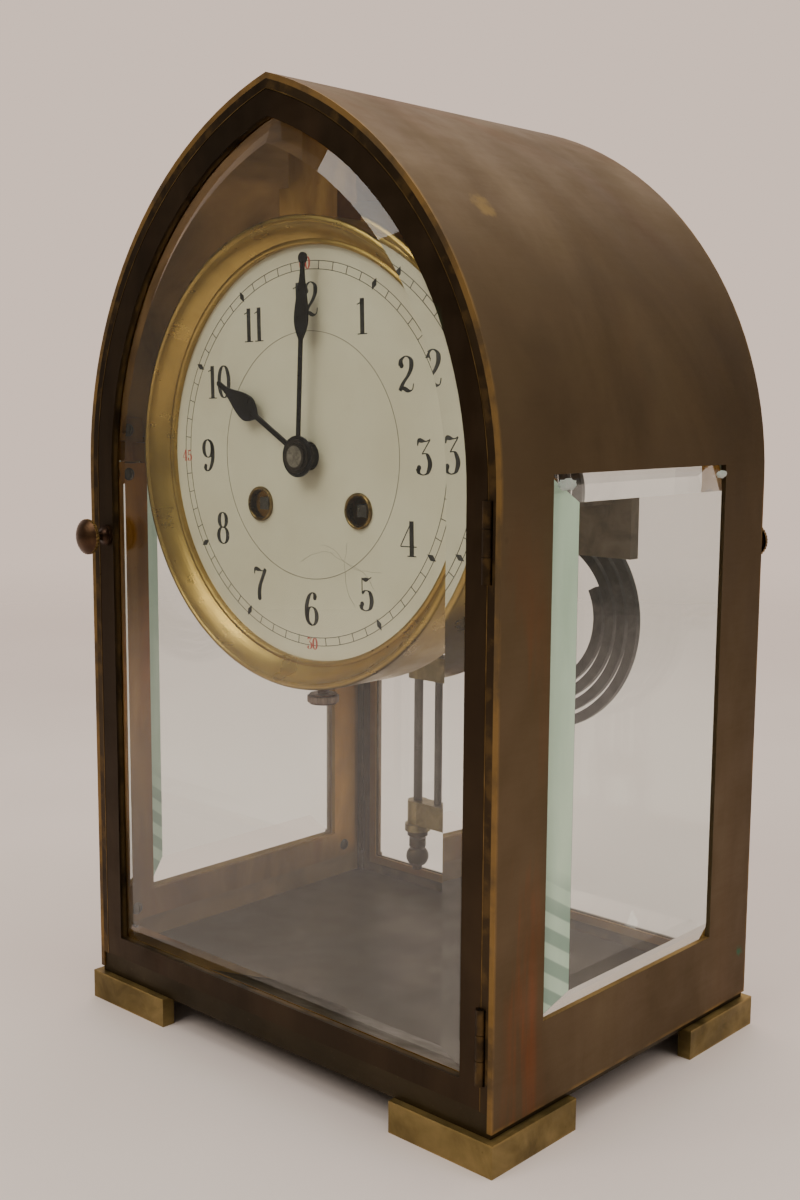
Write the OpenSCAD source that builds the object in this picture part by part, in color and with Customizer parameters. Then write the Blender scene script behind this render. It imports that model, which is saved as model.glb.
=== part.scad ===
// Lancet-arch mantel clock with four bevelled glasses and a striking pendulum movement.
// X is to the right seen from the front, the front faces -Y, +Z is up.
// The origin is on the table, under the middle of the case.

/* [Case] */
// Outside width of the case sheet
case_w = 158; // [150:1:190]
// Height from the table to the ridge of the arch
case_h = 270; // [258:1:324]
// Depth of the case sheet, front face to back face
case_d = 121; // [118:1:150]
// Height at which the upright sides turn into the arch
spring_z = 165; // [150:1:185]
// Thickness of the case sheet
shell_t = 1.5; // [1.2:0.1:2]
// Width of the rim that each door closes against
rim_w = 2.4; // [2.2:0.1:3.5]
// Depth of that rim
rim_d = 5.2; // [5:0.1:7]
// Thickness of the base plate between the case sides
base_t = 6.4; // [4:0.1:9]

/* [Feet] */
// Height of the bracket feet
foot_h = 8.7; // [6:0.1:14]
// Length of each leg of a bracket foot
foot_leg = 34.4; // [20:0.1:45]
// Thickness of the bar the feet are made of
foot_t = 4.2; // [3.6:0.1:7]
// How far the feet stand proud of the case
foot_proud = 1.7; // [0.5:0.1:2.4]

/* [Doors] */
// Width of the visible door frame
door_frame_w = 6.35; // [6:0.05:9]
// Thickness of the door frame
door_t = 4.5; // [4.5:0.1:5]
// Thickness of the lip in front of the glass
door_lip = 2.2; // [1.6:0.1:2.4]
// Width of the bevel that shows round the door glass
door_bevel = 6.3; // [3:0.1:9]
// Angle of the door glass bevel
door_bevel_angle = 20; // [10:1:20]
// Height of each hinge
hinge_h = 19.5; // [12:0.5:24]
// Height of the lower end of the lower hinge
hinge_low_z = 22; // [20:1:40]
// Height of the lower end of the upper hinge
hinge_high_z = 145; // [100:1:145]
// Radius of the hinge knuckle
knuckle_r = 1.25; // [1:0.05:1.4]
// Radius of the hinge pin
hinge_pin_r = 0.6; // [0.4:0.05:0.7]
// Height of the door knobs
knob_z = 146.5; // [60:0.5:160]
// Diameter of the head of a door knob
knob_d = 10.2; // [7:0.1:12]

/* [Side windows] */
// Bare case between the front face and the window
window_front = 20; // [17:0.5:30]
// Bare case between the window and the back face
window_rear = 21.5; // [17:0.5:30]
// Height of the bottom of the window
window_z0 = 33.2; // [28:0.1:50]
// Height of the top of the window
window_z1 = 170; // [140:0.5:172]
// How far the face of the side glass stands proud of the case
pane_proud = 2.7; // [1:0.1:4]
// Width of the whole bevel of the side glass
pane_bevel = 8.3; // [4:0.1:10]
// Angle of the side glass bevel
pane_bevel_angle = 33; // [20:1:36]
// Thickness of the edge of the side glass
pane_edge = 1.2; // [1:0.1:2]
// Thickness of the brass strip behind the glass
strip_t = 1.45; // [1:0.05:2.5]
// Width of the strip on the bare metal around the window
strip_w = 9; // [8:0.1:11]

/* [Dial] */
// Height of the centre of the dial
dial_z = 172; // [165:0.5:185]
// Radius of the dial that shows inside the bezel
dial_r = 56; // [50:0.1:56]
// Distance from the front face of the case to the face of the dial
dial_back = 17; // [15.8:0.1:17.4]
// Thickness of the enamelled dial
dial_t = 1.6; // [1:0.1:2.2]
// Width of the bezel moulding
bezel_w = 7.3; // [6:0.1:7.5]
// Depth of the bezel band behind the moulding
bezel_d = 21.8; // [18:0.1:24]
// Sideways distance of each winding hole from the centre
winding_x = 19.1; // [18:0.1:22]
// Distance of the winding holes below the centre
winding_drop = 13.9; // [12:0.1:16]
// Radius of each winding hole through the dial
winding_hole_r = 4.4; // [3.5:0.1:5]

/* [Hands] */
// Hour that the hands show
show_hour = 10; // [0:1:11]
// Minute that the hands show
show_minute = 0.4; // [0:0.1:59]
// Length of the minute hand to the middle of its end ball
minute_len = 52.3; // [40:0.1:53]
// Length of the hour hand
hour_len = 39.2; // [28:0.1:40]
// Thickness of the hands
hand_t = 0.6; // [0.4:0.1:0.8]

/* [Movement] */
// Radius of the movement plates
plate_r = 42; // [40:0.5:46]
// Thickness of the movement plates
plate_t = 2; // [1.5:0.1:2.5]
// Distance from the dial face to the front plate
under_dial = 11.7; // [11:0.1:14]
// Distance between the plates
plate_gap = 32; // [32:0.5:38]
// Radius of the centre arbor
centre_r = 1.5; // [1.2:0.1:1.5]
// Radial play of an arbor in its hole
pivot_play = 0.05; // [0.02:0.01:0.08]

/* [Pendulum and gong] */
// Height of the bend of the suspension spring above the dial centre
suspension_up = 38; // [34:0.5:39]
// Sideways distance of each tube from the middle of the pendulum
tube_x = 8.2; // [7:0.1:10]
// Diameter of the tubes
tube_d = 2.8; // [2:0.1:4]
// Height of the underside of the upper block
tube_top_z = 102.4; // [90:0.5:103]
// Height of the top of the lower block
tube_low_z = 63.5; // [55:0.5:70]
// Distance of the pendulum behind the back plate
pendulum_gap = 7; // [6:0.1:9]
// Outer radius of the gong coil
gong_r = 37; // [30:0.5:38]
// Width of the gong wire
gong_wire = 3; // [2:0.1:3.2]
// Distance from one turn of the gong to the next
gong_pitch = 4.2; // [3.8:0.1:5]

/* [Hidden] */
$fn = 96;

// Clearances
seat = 0.03;        // between pieces that rest on each other on curved faces
door_gap = 0.15;    // between a door and its rim
sill_gap = 0.25;    // under a door
leaf_gap = 0.03;    // round a hinge leaf in its pocket
glass_gap = 0.2;    // round a glass in its rebate
screw_gap = 0.1;    // round a screw in a clearance hole
over = 1;           // how far a cutter runs past what it cuts

// Colours
bronze = [0.30, 0.24, 0.18];
dark_bronze = [0.18, 0.13, 0.10];
olive_brass = [0.48, 0.42, 0.26];
brass = [0.80, 0.63, 0.30];
orange_brass = [0.70, 0.48, 0.25];
steel = [0.55, 0.55, 0.56];
blue_steel = [0.10, 0.10, 0.14];
dark_iron = [0.26, 0.24, 0.24];
enamel = [0.92, 0.90, 0.84];
glass_tint = [0.75, 0.88, 0.80, 0.4];

// Case
half_w = case_w / 2;
front_y = -case_d / 2;
arch_rise = case_h - spring_z;
arc_c = (arch_rise * arch_rise - half_w * half_w) / (2 * half_w);
arc_r = half_w + arc_c;
sheet_lip = 1.6;
shell_z0 = foot_h + sheet_lip;
base_top = foot_h + base_t;
base_set_in = 0.5;
base_flange_in = 0.7;
wall_in = half_w - shell_t;

// Doors
rim_inset = shell_t + rim_w;
door_inset = rim_inset + door_gap;
door_z0 = base_top + sill_gap;
sight_inset = door_inset + door_frame_w;
sight_z0 = door_z0 + door_frame_w;
glass_lap = 1.5;
glass_inset = sight_inset - glass_lap;
glass_z0 = sight_z0 - glass_lap;
glass_flush = 0.1;
glass_front_y = front_y + glass_flush;
door_bevel_rise = (door_bevel + glass_lap) * tan(door_bevel_angle);
glass_back_y = front_y + door_t;
retainer_t = 0.6;
retainer_lap = 1.2;
hinge_x = half_w - rim_inset;
hinge_y = front_y - 0.1;
hinge_zs = [hinge_low_z, hinge_high_z];
leaf_t = 0.8;
knuckle_gap = 0.15;
knuckle_h = hinge_h / 3;
knob_x = -(half_w - door_inset - door_frame_w / 2);
spindle_r = 1.1;
latch_t = 1;
latch_gap = 0.2;
latch_reach = 4.9;

// Side windows
window_y0 = front_y + window_front;
window_y1 = -front_y - window_rear;
pane_lap = 1.5;
pane_rise = pane_bevel * tan(pane_bevel_angle);
pane_face_x = half_w + pane_proud;
pane_edge_x = pane_face_x - pane_rise;
pane_back_x = pane_edge_x - pane_edge;
strip_in = 0.8;
strip_x = pane_back_x - 0.05 - strip_t;
strip_y0 = window_y0 - strip_w - 4.5;
strip_y1 = window_y1 + strip_w + 2;
strip_z0 = window_z0 - strip_w - 0.7;
strip_z1 = window_z1 + 5.5;
clip_z0 = window_z1 - 9;
clip_z1 = window_z1 - 2.4;
clip_y1 = window_y0 + 4.5;
screw_r = 1;
screw_head_r = 1.95;
screw_head_h = 1.1;
screw_in_wall = 0.9;
frame_screw_y = [strip_y0 + 6, window_y1 + 5.5];
frame_screw_z = [window_z0 - 5.8, (clip_z0 + clip_z1) / 2];

// Dial and bezel
dial_y = front_y + dial_back;
bezel_r = dial_r + bezel_w;
bezel_back_y = dial_y - 6.9 + bezel_d;
bezel_wall = 1.5;
screw_y = (dial_y + bezel_back_y) / 2 - 2;
dial_edge_r = dial_r + 3;
bracket_y0 = strip_y0 + 0.4;
bracket_y1 = bracket_y0 + 11;
bracket_z0 = clip_z1 + 0.6;
bracket_z1 = bracket_z0 + 13;
bracket_x = strip_x;
bracket_screw_z = bracket_z1 - 3.6;
bracket_screw_in = 0.3;

// Movement
front_plate_y = dial_y + under_dial;
between_y = front_plate_y + plate_t;
back_plate_y = between_y + plate_gap;
back_face_y = back_plate_y + plate_t;
pendulum_y = back_face_y + pendulum_gap;
going_x = winding_x;
strike_x = -winding_x;
barrel_z = dial_z - winding_drop;
pivot_z = dial_z + suspension_up;
minute_angle = show_minute * 6;
hour_angle = (show_hour + show_minute / 60) * 30;

// Hands and the pipes that carry them
minute_y = dial_y - 3.8;
hour_y = dial_y - 2.6;
hour_pipe_r = 3.2;
hour_pipe_bore = 1.9;
nut_y = minute_y - hand_t;

// Gears: number of teeth and module of each pair
barrel_teeth = 72;
centre_pinion_teeth = 12;
centre_teeth = 64;
third_pinion_teeth = 8;
third_teeth = 60;
escape_pinion_teeth = 8;
escape_teeth = 30;
cannon_teeth = 12;
minute_teeth = 36;
minute_pinion_teeth = 10;
hour_teeth = 40;
strike_pinion_teeth = 8;
strike_teeth = 64;
fly_pinion_teeth = 8;
gear_play = 0.16;

// A module's worth of teeth: centre distance of a pair is (na + nb) / 2 * m + gear_play.
function pair_distance(na, nb, m) = (na + nb) / 2 * m + gear_play;
function point_at(r, angle) = [r * cos(angle), r * sin(angle)];
// Points along an arc from angle a0 to a1
function arc(c, r, a0, a1, n) = [for (i = [0:n]) c + point_at(r, a0 + (a1 - a0) * i / n)];
// Module that makes a pair reach a given centre distance
function pair_module(na, nb, distance) = (distance - gear_play) * 2 / (na + nb);
function heading(from, to) = atan2(to[1] - from[1], to[0] - from[0]);

// Places of the arbors in the plane of the plates, as [x, z]
centre_at = [0, dial_z];
going_at = [going_x, barrel_z];
strike_at = [strike_x, barrel_z];
barrel_reach = sqrt(winding_x * winding_x + winding_drop * winding_drop);
barrel_m = pair_module(barrel_teeth, centre_pinion_teeth, barrel_reach);
centre_m = 0.36;
third_angle = 62;
third_at = centre_at + point_at(pair_distance(centre_teeth, third_pinion_teeth, centre_m), third_angle);
third_m = 0.3;
escape_reach = pair_distance(third_teeth, escape_pinion_teeth, third_m);
escape_angle = 180 - acos(third_at[0] / escape_reach);
escape_at = third_at + point_at(escape_reach, escape_angle);
escape_r = 8.6;
cannon_m = 0.5;
minute_angle_at = 150;
minute_reach = pair_distance(cannon_teeth, minute_teeth, cannon_m);
minute_at = centre_at + point_at(minute_reach, minute_angle_at);
hour_m = pair_module(minute_pinion_teeth, hour_teeth, minute_reach);
strike_m = 0.55;
strike_wheel_angle = 116;
strike_wheel_at = strike_at
    + point_at(pair_distance(barrel_teeth, strike_pinion_teeth, strike_m), strike_wheel_angle);
fly_m = 0.3;
fly_angle = 62;
fly_at = strike_wheel_at + point_at(pair_distance(strike_teeth, fly_pinion_teeth, fly_m), fly_angle);
pallet_at = [0, pivot_z];
hammer_at = [strike_x - 3, dial_z + 26];
pivot_r = 0.6;
arbor_r = 0.8;
barrel_r = 17;
barrel_y0 = between_y + 6;
barrel_y1 = back_plate_y - 6;
going_gear_y = [barrel_y0 - 3, barrel_y0 - 1];
strike_gear_y = [barrel_y1 + 1, barrel_y1 + 3];
winding_arbor_r = 2.4;
winding_square = 3.4;
winding_end_y = dial_y + 1;
ratchet_teeth = 18;
ratchet_r = 6;
ratchet_y = [front_plate_y - 1.8, front_plate_y - 0.3];
pillar_r = 2.5;
pillar_reach = plate_r - 4;
pillar_angles = [38, 142, 252, 288];
rest_gap = 0.25;    // between a wheel and the plate or wheel beside it

// Levels of the wheels behind the dial and between the plates
centre_wheel_y = [between_y + rest_gap, between_y + rest_gap + 1.4];
motion_y = [front_plate_y - 3.4, front_plate_y - 1.2];
minute_pinion_y = [motion_y[0] - 3.4, motion_y[0] - 0.6];
third_wheel_y = [barrel_y0 + 9, barrel_y0 + 10];
escape_wheel_y = [barrel_y1 - 4, barrel_y1 - 3];
strike_wheel_y = [between_y + 2, between_y + 3.2];
pallet_drop = pivot_z - escape_at[1];
crutch_len = 30;
crutch_y = [back_face_y + 1.2, back_face_y + 2.4];
hammer_drop = 52;
hammer_lean = 5.5;
hammer_head_r = 3.5;
cock_z = [pivot_z + 1.6, pivot_z + 10];
spring_t = 0.2;

// Pendulum and gong
rod_r = 1.2;
block_h = 7.5;
block_half_y = 3.2;
flange_h = 2.2;
finial_h = 12.6;
gong_at = [7.2, tube_top_z + 18.6];
gong_y = -front_y - 16.9;
gong_t = 2;
gong_turns = 4;
gong_gap = 0.8;
gong_block_x = [16, 44.5];
gong_block_z = [gong_at[1] + 20, gong_at[1] + 45];
gong_block_t = 4;

// Arch outline, set in from the outside of the case sheet and cut off below.
module lancet(inset, bottom) {
    intersection() {
        translate([-arc_c, spring_z]) circle(r = arc_r - inset, $fn = 360);
        translate([arc_c, spring_z]) circle(r = arc_r - inset, $fn = 360);
        translate([-half_w, spring_z]) square([case_w, case_h]);
    }
    translate([inset - half_w, bottom]) square([case_w - 2 * inset, spring_z - bottom]);
}

// Stands a plan outline up and gives it depth from y0 back to y1.
module along_y(y0, y1) {
    translate([0, y1, 0]) rotate([90, 0, 0]) linear_extrude(y1 - y0) children();
}

// Plan outline in Y and Z, given thickness from x0 to x1.
module along_x(x0, x1) {
    translate([x0, 0, 0]) rotate([90, 0, 90]) linear_extrude(x1 - x0) children();
}

// Round bar along Y.
module rod_y(at, r, y0, y1) {
    translate([at[0], y1, at[1]]) rotate([90, 0, 0]) cylinder(r = r, h = y1 - y0);
}

// Turned shape about an axis along Y; the profile's height runs forwards from y0.
module turned_y(at, y0) {
    translate([at[0], y0, at[1]]) rotate([90, 0, 0]) rotate_extrude() children();
}

// Turned shape about an upright axis.
module turned_z(x, y, z) {
    translate([x, y, z]) rotate_extrude() children();
}

// Toothed wheel outline with straight-sided teeth, one of them pointing along `phase`.
module teeth(n, m, phase) {
    tip = n * m / 2 + 0.9 * m;
    root = n * m / 2 - 1.2 * m;
    step = 360 / n;
    polygon([for (i = [0:n - 1], k = [[root, -0.2], [tip, -0.09], [tip, 0.09], [root, 0.2]])
        point_at(k[0], phase + (i + k[1]) * step)]);
}

// Wheel of a train: rim with teeth, crossed out with five arms, seen from the front.
module wheel(at, n, m, phase, bore, y0, y1) {
    inner = n * m / 2 - 1.2 * m - 1.2;
    hub = bore + 2;
    translate([at[0], 0, at[1]]) along_y(y0, y1) difference() {
        teeth(n, m, phase);
        circle(r = bore);
        if (inner > hub + 3) difference() {
            circle(r = inner);
            circle(r = hub);
            for (i = [0:4]) rotate(phase + i * 72) translate([0, -0.8]) square([inner + over, 1.6]);
        }
    }
}

// Pinion: a short solid toothed bar.
module pinion(at, n, m, phase, bore, y0, y1) {
    translate([at[0], 0, at[1]]) along_y(y0, y1) difference() {
        teeth(n, m, phase);
        circle(r = bore);
    }
}

// Case ------------------------------------------------------------------

module window_hole(side) {
    translate([side > 0 ? half_w - 8 : -half_w - 8, window_y0, window_z0])
        cube([16, window_y1 - window_y0, window_z1 - window_z0]);
}

module screw_holes(r, depth_from) {
    for (side = [-1, 1], y = frame_screw_y, z = frame_screw_z)
        translate([side > 0 ? depth_from : -wall_in - screw_in_wall, y, z])
            rotate([0, 90, 0]) cylinder(r = r, h = wall_in + screw_in_wall - depth_from);
}

module bracket_holes(r, depth_from) {
    end_x = wall_in + bracket_screw_in;
    for (side = [-1, 1]) translate([side > 0 ? depth_from : -end_x, frame_screw_y[0], bracket_screw_z])
        rotate([0, 90, 0]) cylinder(r = r, h = end_x - depth_from);
}

module case_shell() color(bronze) difference() {
    along_y(front_y, -front_y) difference() {
        lancet(0, shell_z0);
        lancet(shell_t, shell_z0 - over);
    }
    window_hole(-1);
    window_hole(1);
    screw_holes(screw_r, wall_in - over);
    bracket_holes(screw_r, wall_in - over);
}

// Rims and doors are drawn at the front; the back ones are the same, turned half round.
module to_rear() rotate([0, 0, 180]) children();

module rim() difference() {
    along_y(front_y, front_y + rim_d) difference() {
        lancet(shell_t + seat, base_top);
        lancet(rim_inset, base_top - over);
    }
    for (z = hinge_zs) translate([hinge_x, 0, z - leaf_gap]) {
        translate([0, hinge_y, 0]) cylinder(r = knuckle_r + 2 * knuckle_gap, h = hinge_h + 2 * leaf_gap);
        translate([-over, hinge_y, 0])
            cube([over + leaf_t + leaf_gap, rim_d + over, hinge_h + 2 * leaf_gap]);
    }
}

module front_rim() color(bronze) rim();
module rear_rim() color(bronze) to_rear() rim();

module base_plate() color(dark_bronze) {
    plate_half = wall_in - seat;
    depth_half = case_d / 2 - base_set_in;
    translate([-plate_half, -depth_half, shell_z0 - seat])
        cube([2 * plate_half, 2 * depth_half, base_t - sheet_lip + seat]);
    translate([base_flange_in - half_w, -depth_half, foot_h])
        cube([case_w - 2 * base_flange_in, 2 * depth_half, sheet_lip - seat]);
}

// Bracket foot at the corner given by the signs of X and Y.
module foot(sx, sy) color(olive_brass) {
    corner_x = half_w + foot_proud;
    corner_y = case_d / 2 + foot_proud;
    leg_x = sx > 0 ? corner_x - foot_leg : -corner_x;
    leg_y = sy > 0 ? corner_y - foot_leg : -corner_y;
    bar_x = sx > 0 ? corner_x - foot_t : -corner_x;
    bar_y = sy > 0 ? corner_y - foot_t : -corner_y;
    translate([leg_x, bar_y, 0]) cube([foot_leg, foot_t, foot_h]);
    translate([bar_x, leg_y, 0]) cube([foot_t, foot_leg, foot_h]);
}
module foot_front_left() foot(-1, -1);
module foot_front_right() foot(1, -1);
module foot_rear_left() foot(-1, 1);
module foot_rear_right() foot(1, 1);

// Side glass: flat back, bevelled all round so that its face stands out through the window.
module side_glass(side) color(glass_tint) mirror([side > 0 ? 0 : 1, 0, 0]) {
    y0 = window_y0 - pane_lap;
    y1 = window_y1 + pane_lap;
    z0 = window_z0 - pane_lap;
    z1 = window_z1 + pane_lap;
    intersection() {
        translate([0, 0, z0]) linear_extrude(z1 - z0) polygon([
            [pane_back_x, y0], [pane_edge_x, y0], [pane_face_x, y0 + pane_bevel],
            [pane_face_x, y1 - pane_bevel], [pane_edge_x, y1], [pane_back_x, y1]]);
        translate([0, y1, 0]) rotate([90, 0, 0]) linear_extrude(y1 - y0) polygon([
            [pane_back_x, z0], [pane_edge_x, z0], [pane_face_x, z0 + pane_bevel],
            [pane_face_x, z1 - pane_bevel], [pane_edge_x, z1], [pane_back_x, z1]]);
    }
}
module side_glass_left() side_glass(-1);
module side_glass_right() side_glass(1);

// Brass frame that holds a side glass, bedded against the inside of the case.
module side_frame(side) color(orange_brass) difference() {
    intersection() {
        mirror([side > 0 ? 0 : 1, 0, 0]) difference() {
            along_x(strip_x, half_w) {
                difference() {
                    polygon([[strip_y0, strip_z0], [strip_y1, strip_z0], [strip_y1, strip_z1],
                        [bracket_y1 + 0.5, strip_z1], [bracket_y1 + 0.5, clip_z1], [strip_y0, clip_z1]]);
                    translate([window_y0 - strip_in, window_z0 - strip_in])
                        square([window_y1 - window_y0 + 2 * strip_in, window_z1 - window_z0 + 2 * strip_in]);
                }
                translate([strip_y0, clip_z0]) square([clip_y1 - strip_y0, clip_z1 - clip_z0]);
            }
            translate([pane_back_x - 0.05, window_y0 - pane_lap - 0.1, window_z0 - pane_lap - 0.1])
                cube([20, window_y1 - window_y0 + 2 * pane_lap + 0.2,
                    window_z1 - window_z0 + 2 * pane_lap + 0.2]);
        }
        along_y(front_y, -front_y) lancet(shell_t + seat, base_top);
    }
    screw_holes(screw_r + screw_gap, strip_x - over);
}
module side_frame_left() side_frame(-1);
module side_frame_right() side_frame(1);

// Round-headed screw pointing outwards along X from the inner face at x.
module wall_screw(side, x, y, z, shank) {
    mirror([side > 0 ? 0 : 1, 0, 0]) translate([x, y, z]) rotate([0, 90, 0]) difference() {
        union() {
            cylinder(r = screw_r - 0.02, h = shank);
            intersection() {
                translate([0, 0, -screw_head_h]) cylinder(r = screw_head_r, h = screw_head_h);
                translate([0, 0, 1.3]) sphere(r = 2.4);
            }
        }
        translate([-screw_head_r, -0.25, -screw_head_h - 0.1]) cube([2 * screw_head_r, 0.5, 0.5]);
    }
}

module case_screws() color(steel) {
    shank = wall_in + screw_in_wall - strip_x - 0.05;
    for (side = [-1, 1], y = frame_screw_y, z = frame_screw_z)
        wall_screw(side, strip_x, y, z, shank);
    for (side = [-1, 1])
        wall_screw(side, bracket_x, frame_screw_y[0], bracket_screw_z,
            wall_in + bracket_screw_in - bracket_x - 0.05);
}

// Doors -----------------------------------------------------------------

// Solid whose outline shrinks from one inset to another on its way forwards.
module bevelled_lancet(inset0, inset1, z0, y0, rise) {
    grow = inset1 - inset0;
    h = spring_z - z0;
    // upper part, one cone for each side of the arch
    for (side = [-1, 1]) intersection() {
        translate([-side * arc_c, y0, spring_z]) rotate([90, 0, 0])
            cylinder(h = rise, r1 = arc_r - inset0, r2 = arc_r - inset1, $fn = 360);
        translate([side > 0 ? 0 : -half_w, y0 - rise, spring_z]) cube([half_w, rise, case_h]);
    }
    // lower part, upright sides and a sloping foot
    intersection() {
        translate([0, 0, z0]) linear_extrude(h) polygon([
            [inset0 - half_w, y0], [half_w - inset0, y0],
            [half_w - inset1, y0 - rise], [inset1 - half_w, y0 - rise]]);
        along_x(-half_w, half_w) polygon([
            [y0, z0], [y0, spring_z], [y0 - rise, spring_z], [y0 - rise, z0 + grow]]);
    }
}

module door_glass() {
    bevel_foot_y = glass_front_y + door_bevel_rise;
    union() {
        along_y(bevel_foot_y, glass_back_y) lancet(glass_inset, glass_z0);
        bevelled_lancet(glass_inset, sight_inset + door_bevel, glass_z0, bevel_foot_y, door_bevel_rise);
    }
}
module front_door_glass() color(glass_tint) door_glass();
module rear_door_glass() color(glass_tint) to_rear() door_glass();

module door_frame() difference() {
    along_y(front_y, front_y + door_t) difference() {
        lancet(door_inset, door_z0);
        lancet(sight_inset, sight_z0);
    }
    along_y(front_y + door_lip, front_y + door_t + over)
        lancet(glass_inset - glass_gap, glass_z0 - glass_gap);
    for (z = hinge_zs) translate([hinge_x, 0, z - leaf_gap]) {
        translate([0, hinge_y, 0]) cylinder(r = knuckle_r + 2 * knuckle_gap, h = hinge_h + 2 * leaf_gap);
        translate([-door_gap - leaf_t - leaf_gap, hinge_y, 0])
            cube([leaf_t + over, door_t + over, hinge_h + 2 * leaf_gap]);
    }
    rod_y([knob_x, knob_z], spindle_r + pivot_play, front_y - over, front_y + door_t + over);
}
module front_door_frame() color(dark_bronze) door_frame();
module rear_door_frame() color(dark_bronze) to_rear() door_frame();

// Thin brass strip that keeps the door glass in, behind the frame.
module retainer() difference() {
    along_y(glass_back_y, glass_back_y + retainer_t) difference() {
        lancet(glass_inset - retainer_lap, glass_z0 - retainer_lap);
        lancet(sight_inset, sight_z0);
    }
    rod_y([knob_x, knob_z], spindle_r + 0.15, glass_back_y - over, glass_back_y + retainer_t + over);
}
module front_glass_retainer() color(orange_brass) retainer();
module rear_glass_retainer() color(orange_brass) to_rear() retainer();

// Knob with its washer, spindle and latch tongue; the tongue hangs down when released.
module knob() {
    r = knob_d / 2;
    rise = 2.1;
    dome_r = (r * r + rise * rise) / (2 * rise);
    dome_a = asin(r / dome_r);
    latch_y = glass_back_y + retainer_t + latch_gap;
    turned_y([knob_x, knob_z], front_y - 0.05)
        polygon(concat([[0, 0], [3.1, 0], [3.1, 0.9]], arc([2.9, 2.5], 1.6, 270, 180, 5),
            arc([2.9, 4], 1.6, 180, 90, 5), [[r - 0.8, 5.6], [r - 0.8, 6.2], [r, 6.2], [r, 7.2]],
            arc([0, 7.2 + rise - dome_r], dome_r, 90 - dome_a, 90, 7)));
    rod_y([knob_x, knob_z], spindle_r, front_y - 0.1, latch_y + latch_t);
    translate([knob_x - 1.6, latch_y, knob_z - latch_reach]) cube([3.2, latch_t, latch_reach]);
    rod_y([knob_x, knob_z], 2.2, latch_y, latch_y + latch_t);
}
module front_knob() color(dark_bronze) knob();
module rear_knob() color(dark_bronze) to_rear() knob();

// Hinges: the case leaf carries the outer knuckles, the door leaf the middle one.
module hinge_knuckle(z, h, bore) {
    translate([hinge_x, hinge_y, z]) difference() {
        cylinder(r = knuckle_r, h = h);
        translate([0, 0, -over]) cylinder(r = bore, h = h + 2 * over);
    }
}
module knuckle_space(z, h) {
    translate([hinge_x, hinge_y, z]) cylinder(r = knuckle_r + knuckle_gap, h = h);
}
module case_leaf(z) {
    difference() {
        translate([hinge_x, hinge_y, z]) cube([leaf_t, door_t, hinge_h]);
        knuckle_space(z + knuckle_h - knuckle_gap, knuckle_h + 2 * knuckle_gap);
        translate([hinge_x, hinge_y, z - over]) cylinder(r = hinge_pin_r, h = hinge_h + 2 * over);
    }
    hinge_knuckle(z, knuckle_h - knuckle_gap, hinge_pin_r);
    hinge_knuckle(z + 2 * knuckle_h + knuckle_gap, knuckle_h - knuckle_gap, hinge_pin_r);
}
module door_leaf(z) {
    difference() {
        translate([hinge_x - door_gap - leaf_t, hinge_y, z]) cube([leaf_t, door_t - 0.2, hinge_h]);
        knuckle_space(z - over, knuckle_h + over);
        knuckle_space(z + 2 * knuckle_h, knuckle_h + over);
        translate([hinge_x, hinge_y, z]) cylinder(r = hinge_pin_r + pivot_play, h = hinge_h);
    }
    hinge_knuckle(z + knuckle_h, knuckle_h, hinge_pin_r + pivot_play);
}
module hinge_pair_case() for (z = hinge_zs) case_leaf(z);
module hinge_pair_door() for (z = hinge_zs) door_leaf(z);
module hinge_pair_pins() for (z = hinge_zs)
    translate([hinge_x, hinge_y, z]) cylinder(r = hinge_pin_r, h = hinge_h);
module case_hinge_leaves() color(brass) {
    hinge_pair_case();
    to_rear() hinge_pair_case();
}
module hinge_pins() color(steel) {
    hinge_pair_pins();
    to_rear() hinge_pair_pins();
}
module front_door_hinge_leaves() color(brass) hinge_pair_door();
module rear_door_hinge_leaves() color(brass) to_rear() hinge_pair_door();

// Dial, bezel and brackets ------------------------------------------------

module dial() color(enamel) difference() {
    union() {
        rod_y(centre_at, dial_edge_r, dial_y, dial_y + dial_t);
        for (angle = [45, 165, 285])
            rod_y(centre_at + point_at(plate_r - 4, angle), 1.2, dial_y + dial_t - 0.1, front_plate_y);
    }
    rod_y(centre_at, 4, dial_y - over, dial_y + dial_t + over);
    for (x = [going_x, strike_x])
        rod_y([x, barrel_z], winding_hole_r, dial_y - over, dial_y + dial_t + over);
}

// Bezel: a deep polished band with a coved moulding in front, bead at each edge.
module bezel() color(brass) difference() {
    dial_h = bezel_back_y - dial_y;
    cove_a = [dial_r + 1.5, dial_h + 1.5];
    cove_b = [bezel_r - 1.9, bezel_d - 0.5];
    cove_r = 9;
    cove_run = cove_b - cove_a;
    cove_half = norm(cove_run) / 2;
    cove_c = (cove_a + cove_b) / 2
        + [-cove_run[1], cove_run[0]] / (2 * cove_half) * sqrt(cove_r * cove_r - cove_half * cove_half);
    from = heading(cove_c, cove_a);
    to = heading(cove_c, cove_b);
    inner_r = bezel_r - bezel_wall;
    outer_bead = arc([bezel_r - 1.1, bezel_d - 1.1], 1.1, 0, 100, 6);
    inner_bead = arc([dial_r + 0.8, dial_h + 1], 0.8, 60, 180, 5);
    lip_r = dial_edge_r + 0.4;
    lip_h = dial_h - 0.6;
    turned_y(centre_at, bezel_back_y) polygon(concat(
        [[inner_r, 0], [bezel_r, 0]], outer_bead, [[bezel_r - 1.6, bezel_d - 0.4]],
        arc(cove_c, cove_r, to, from, 8), inner_bead,
        [[dial_r, dial_h], [lip_r, dial_h], [lip_r, lip_h], [inner_r, lip_h]]));
    translate([0, screw_y, dial_z - bezel_r - over]) cylinder(r = 1.7, h = bezel_wall + 2 * over);
}

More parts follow.
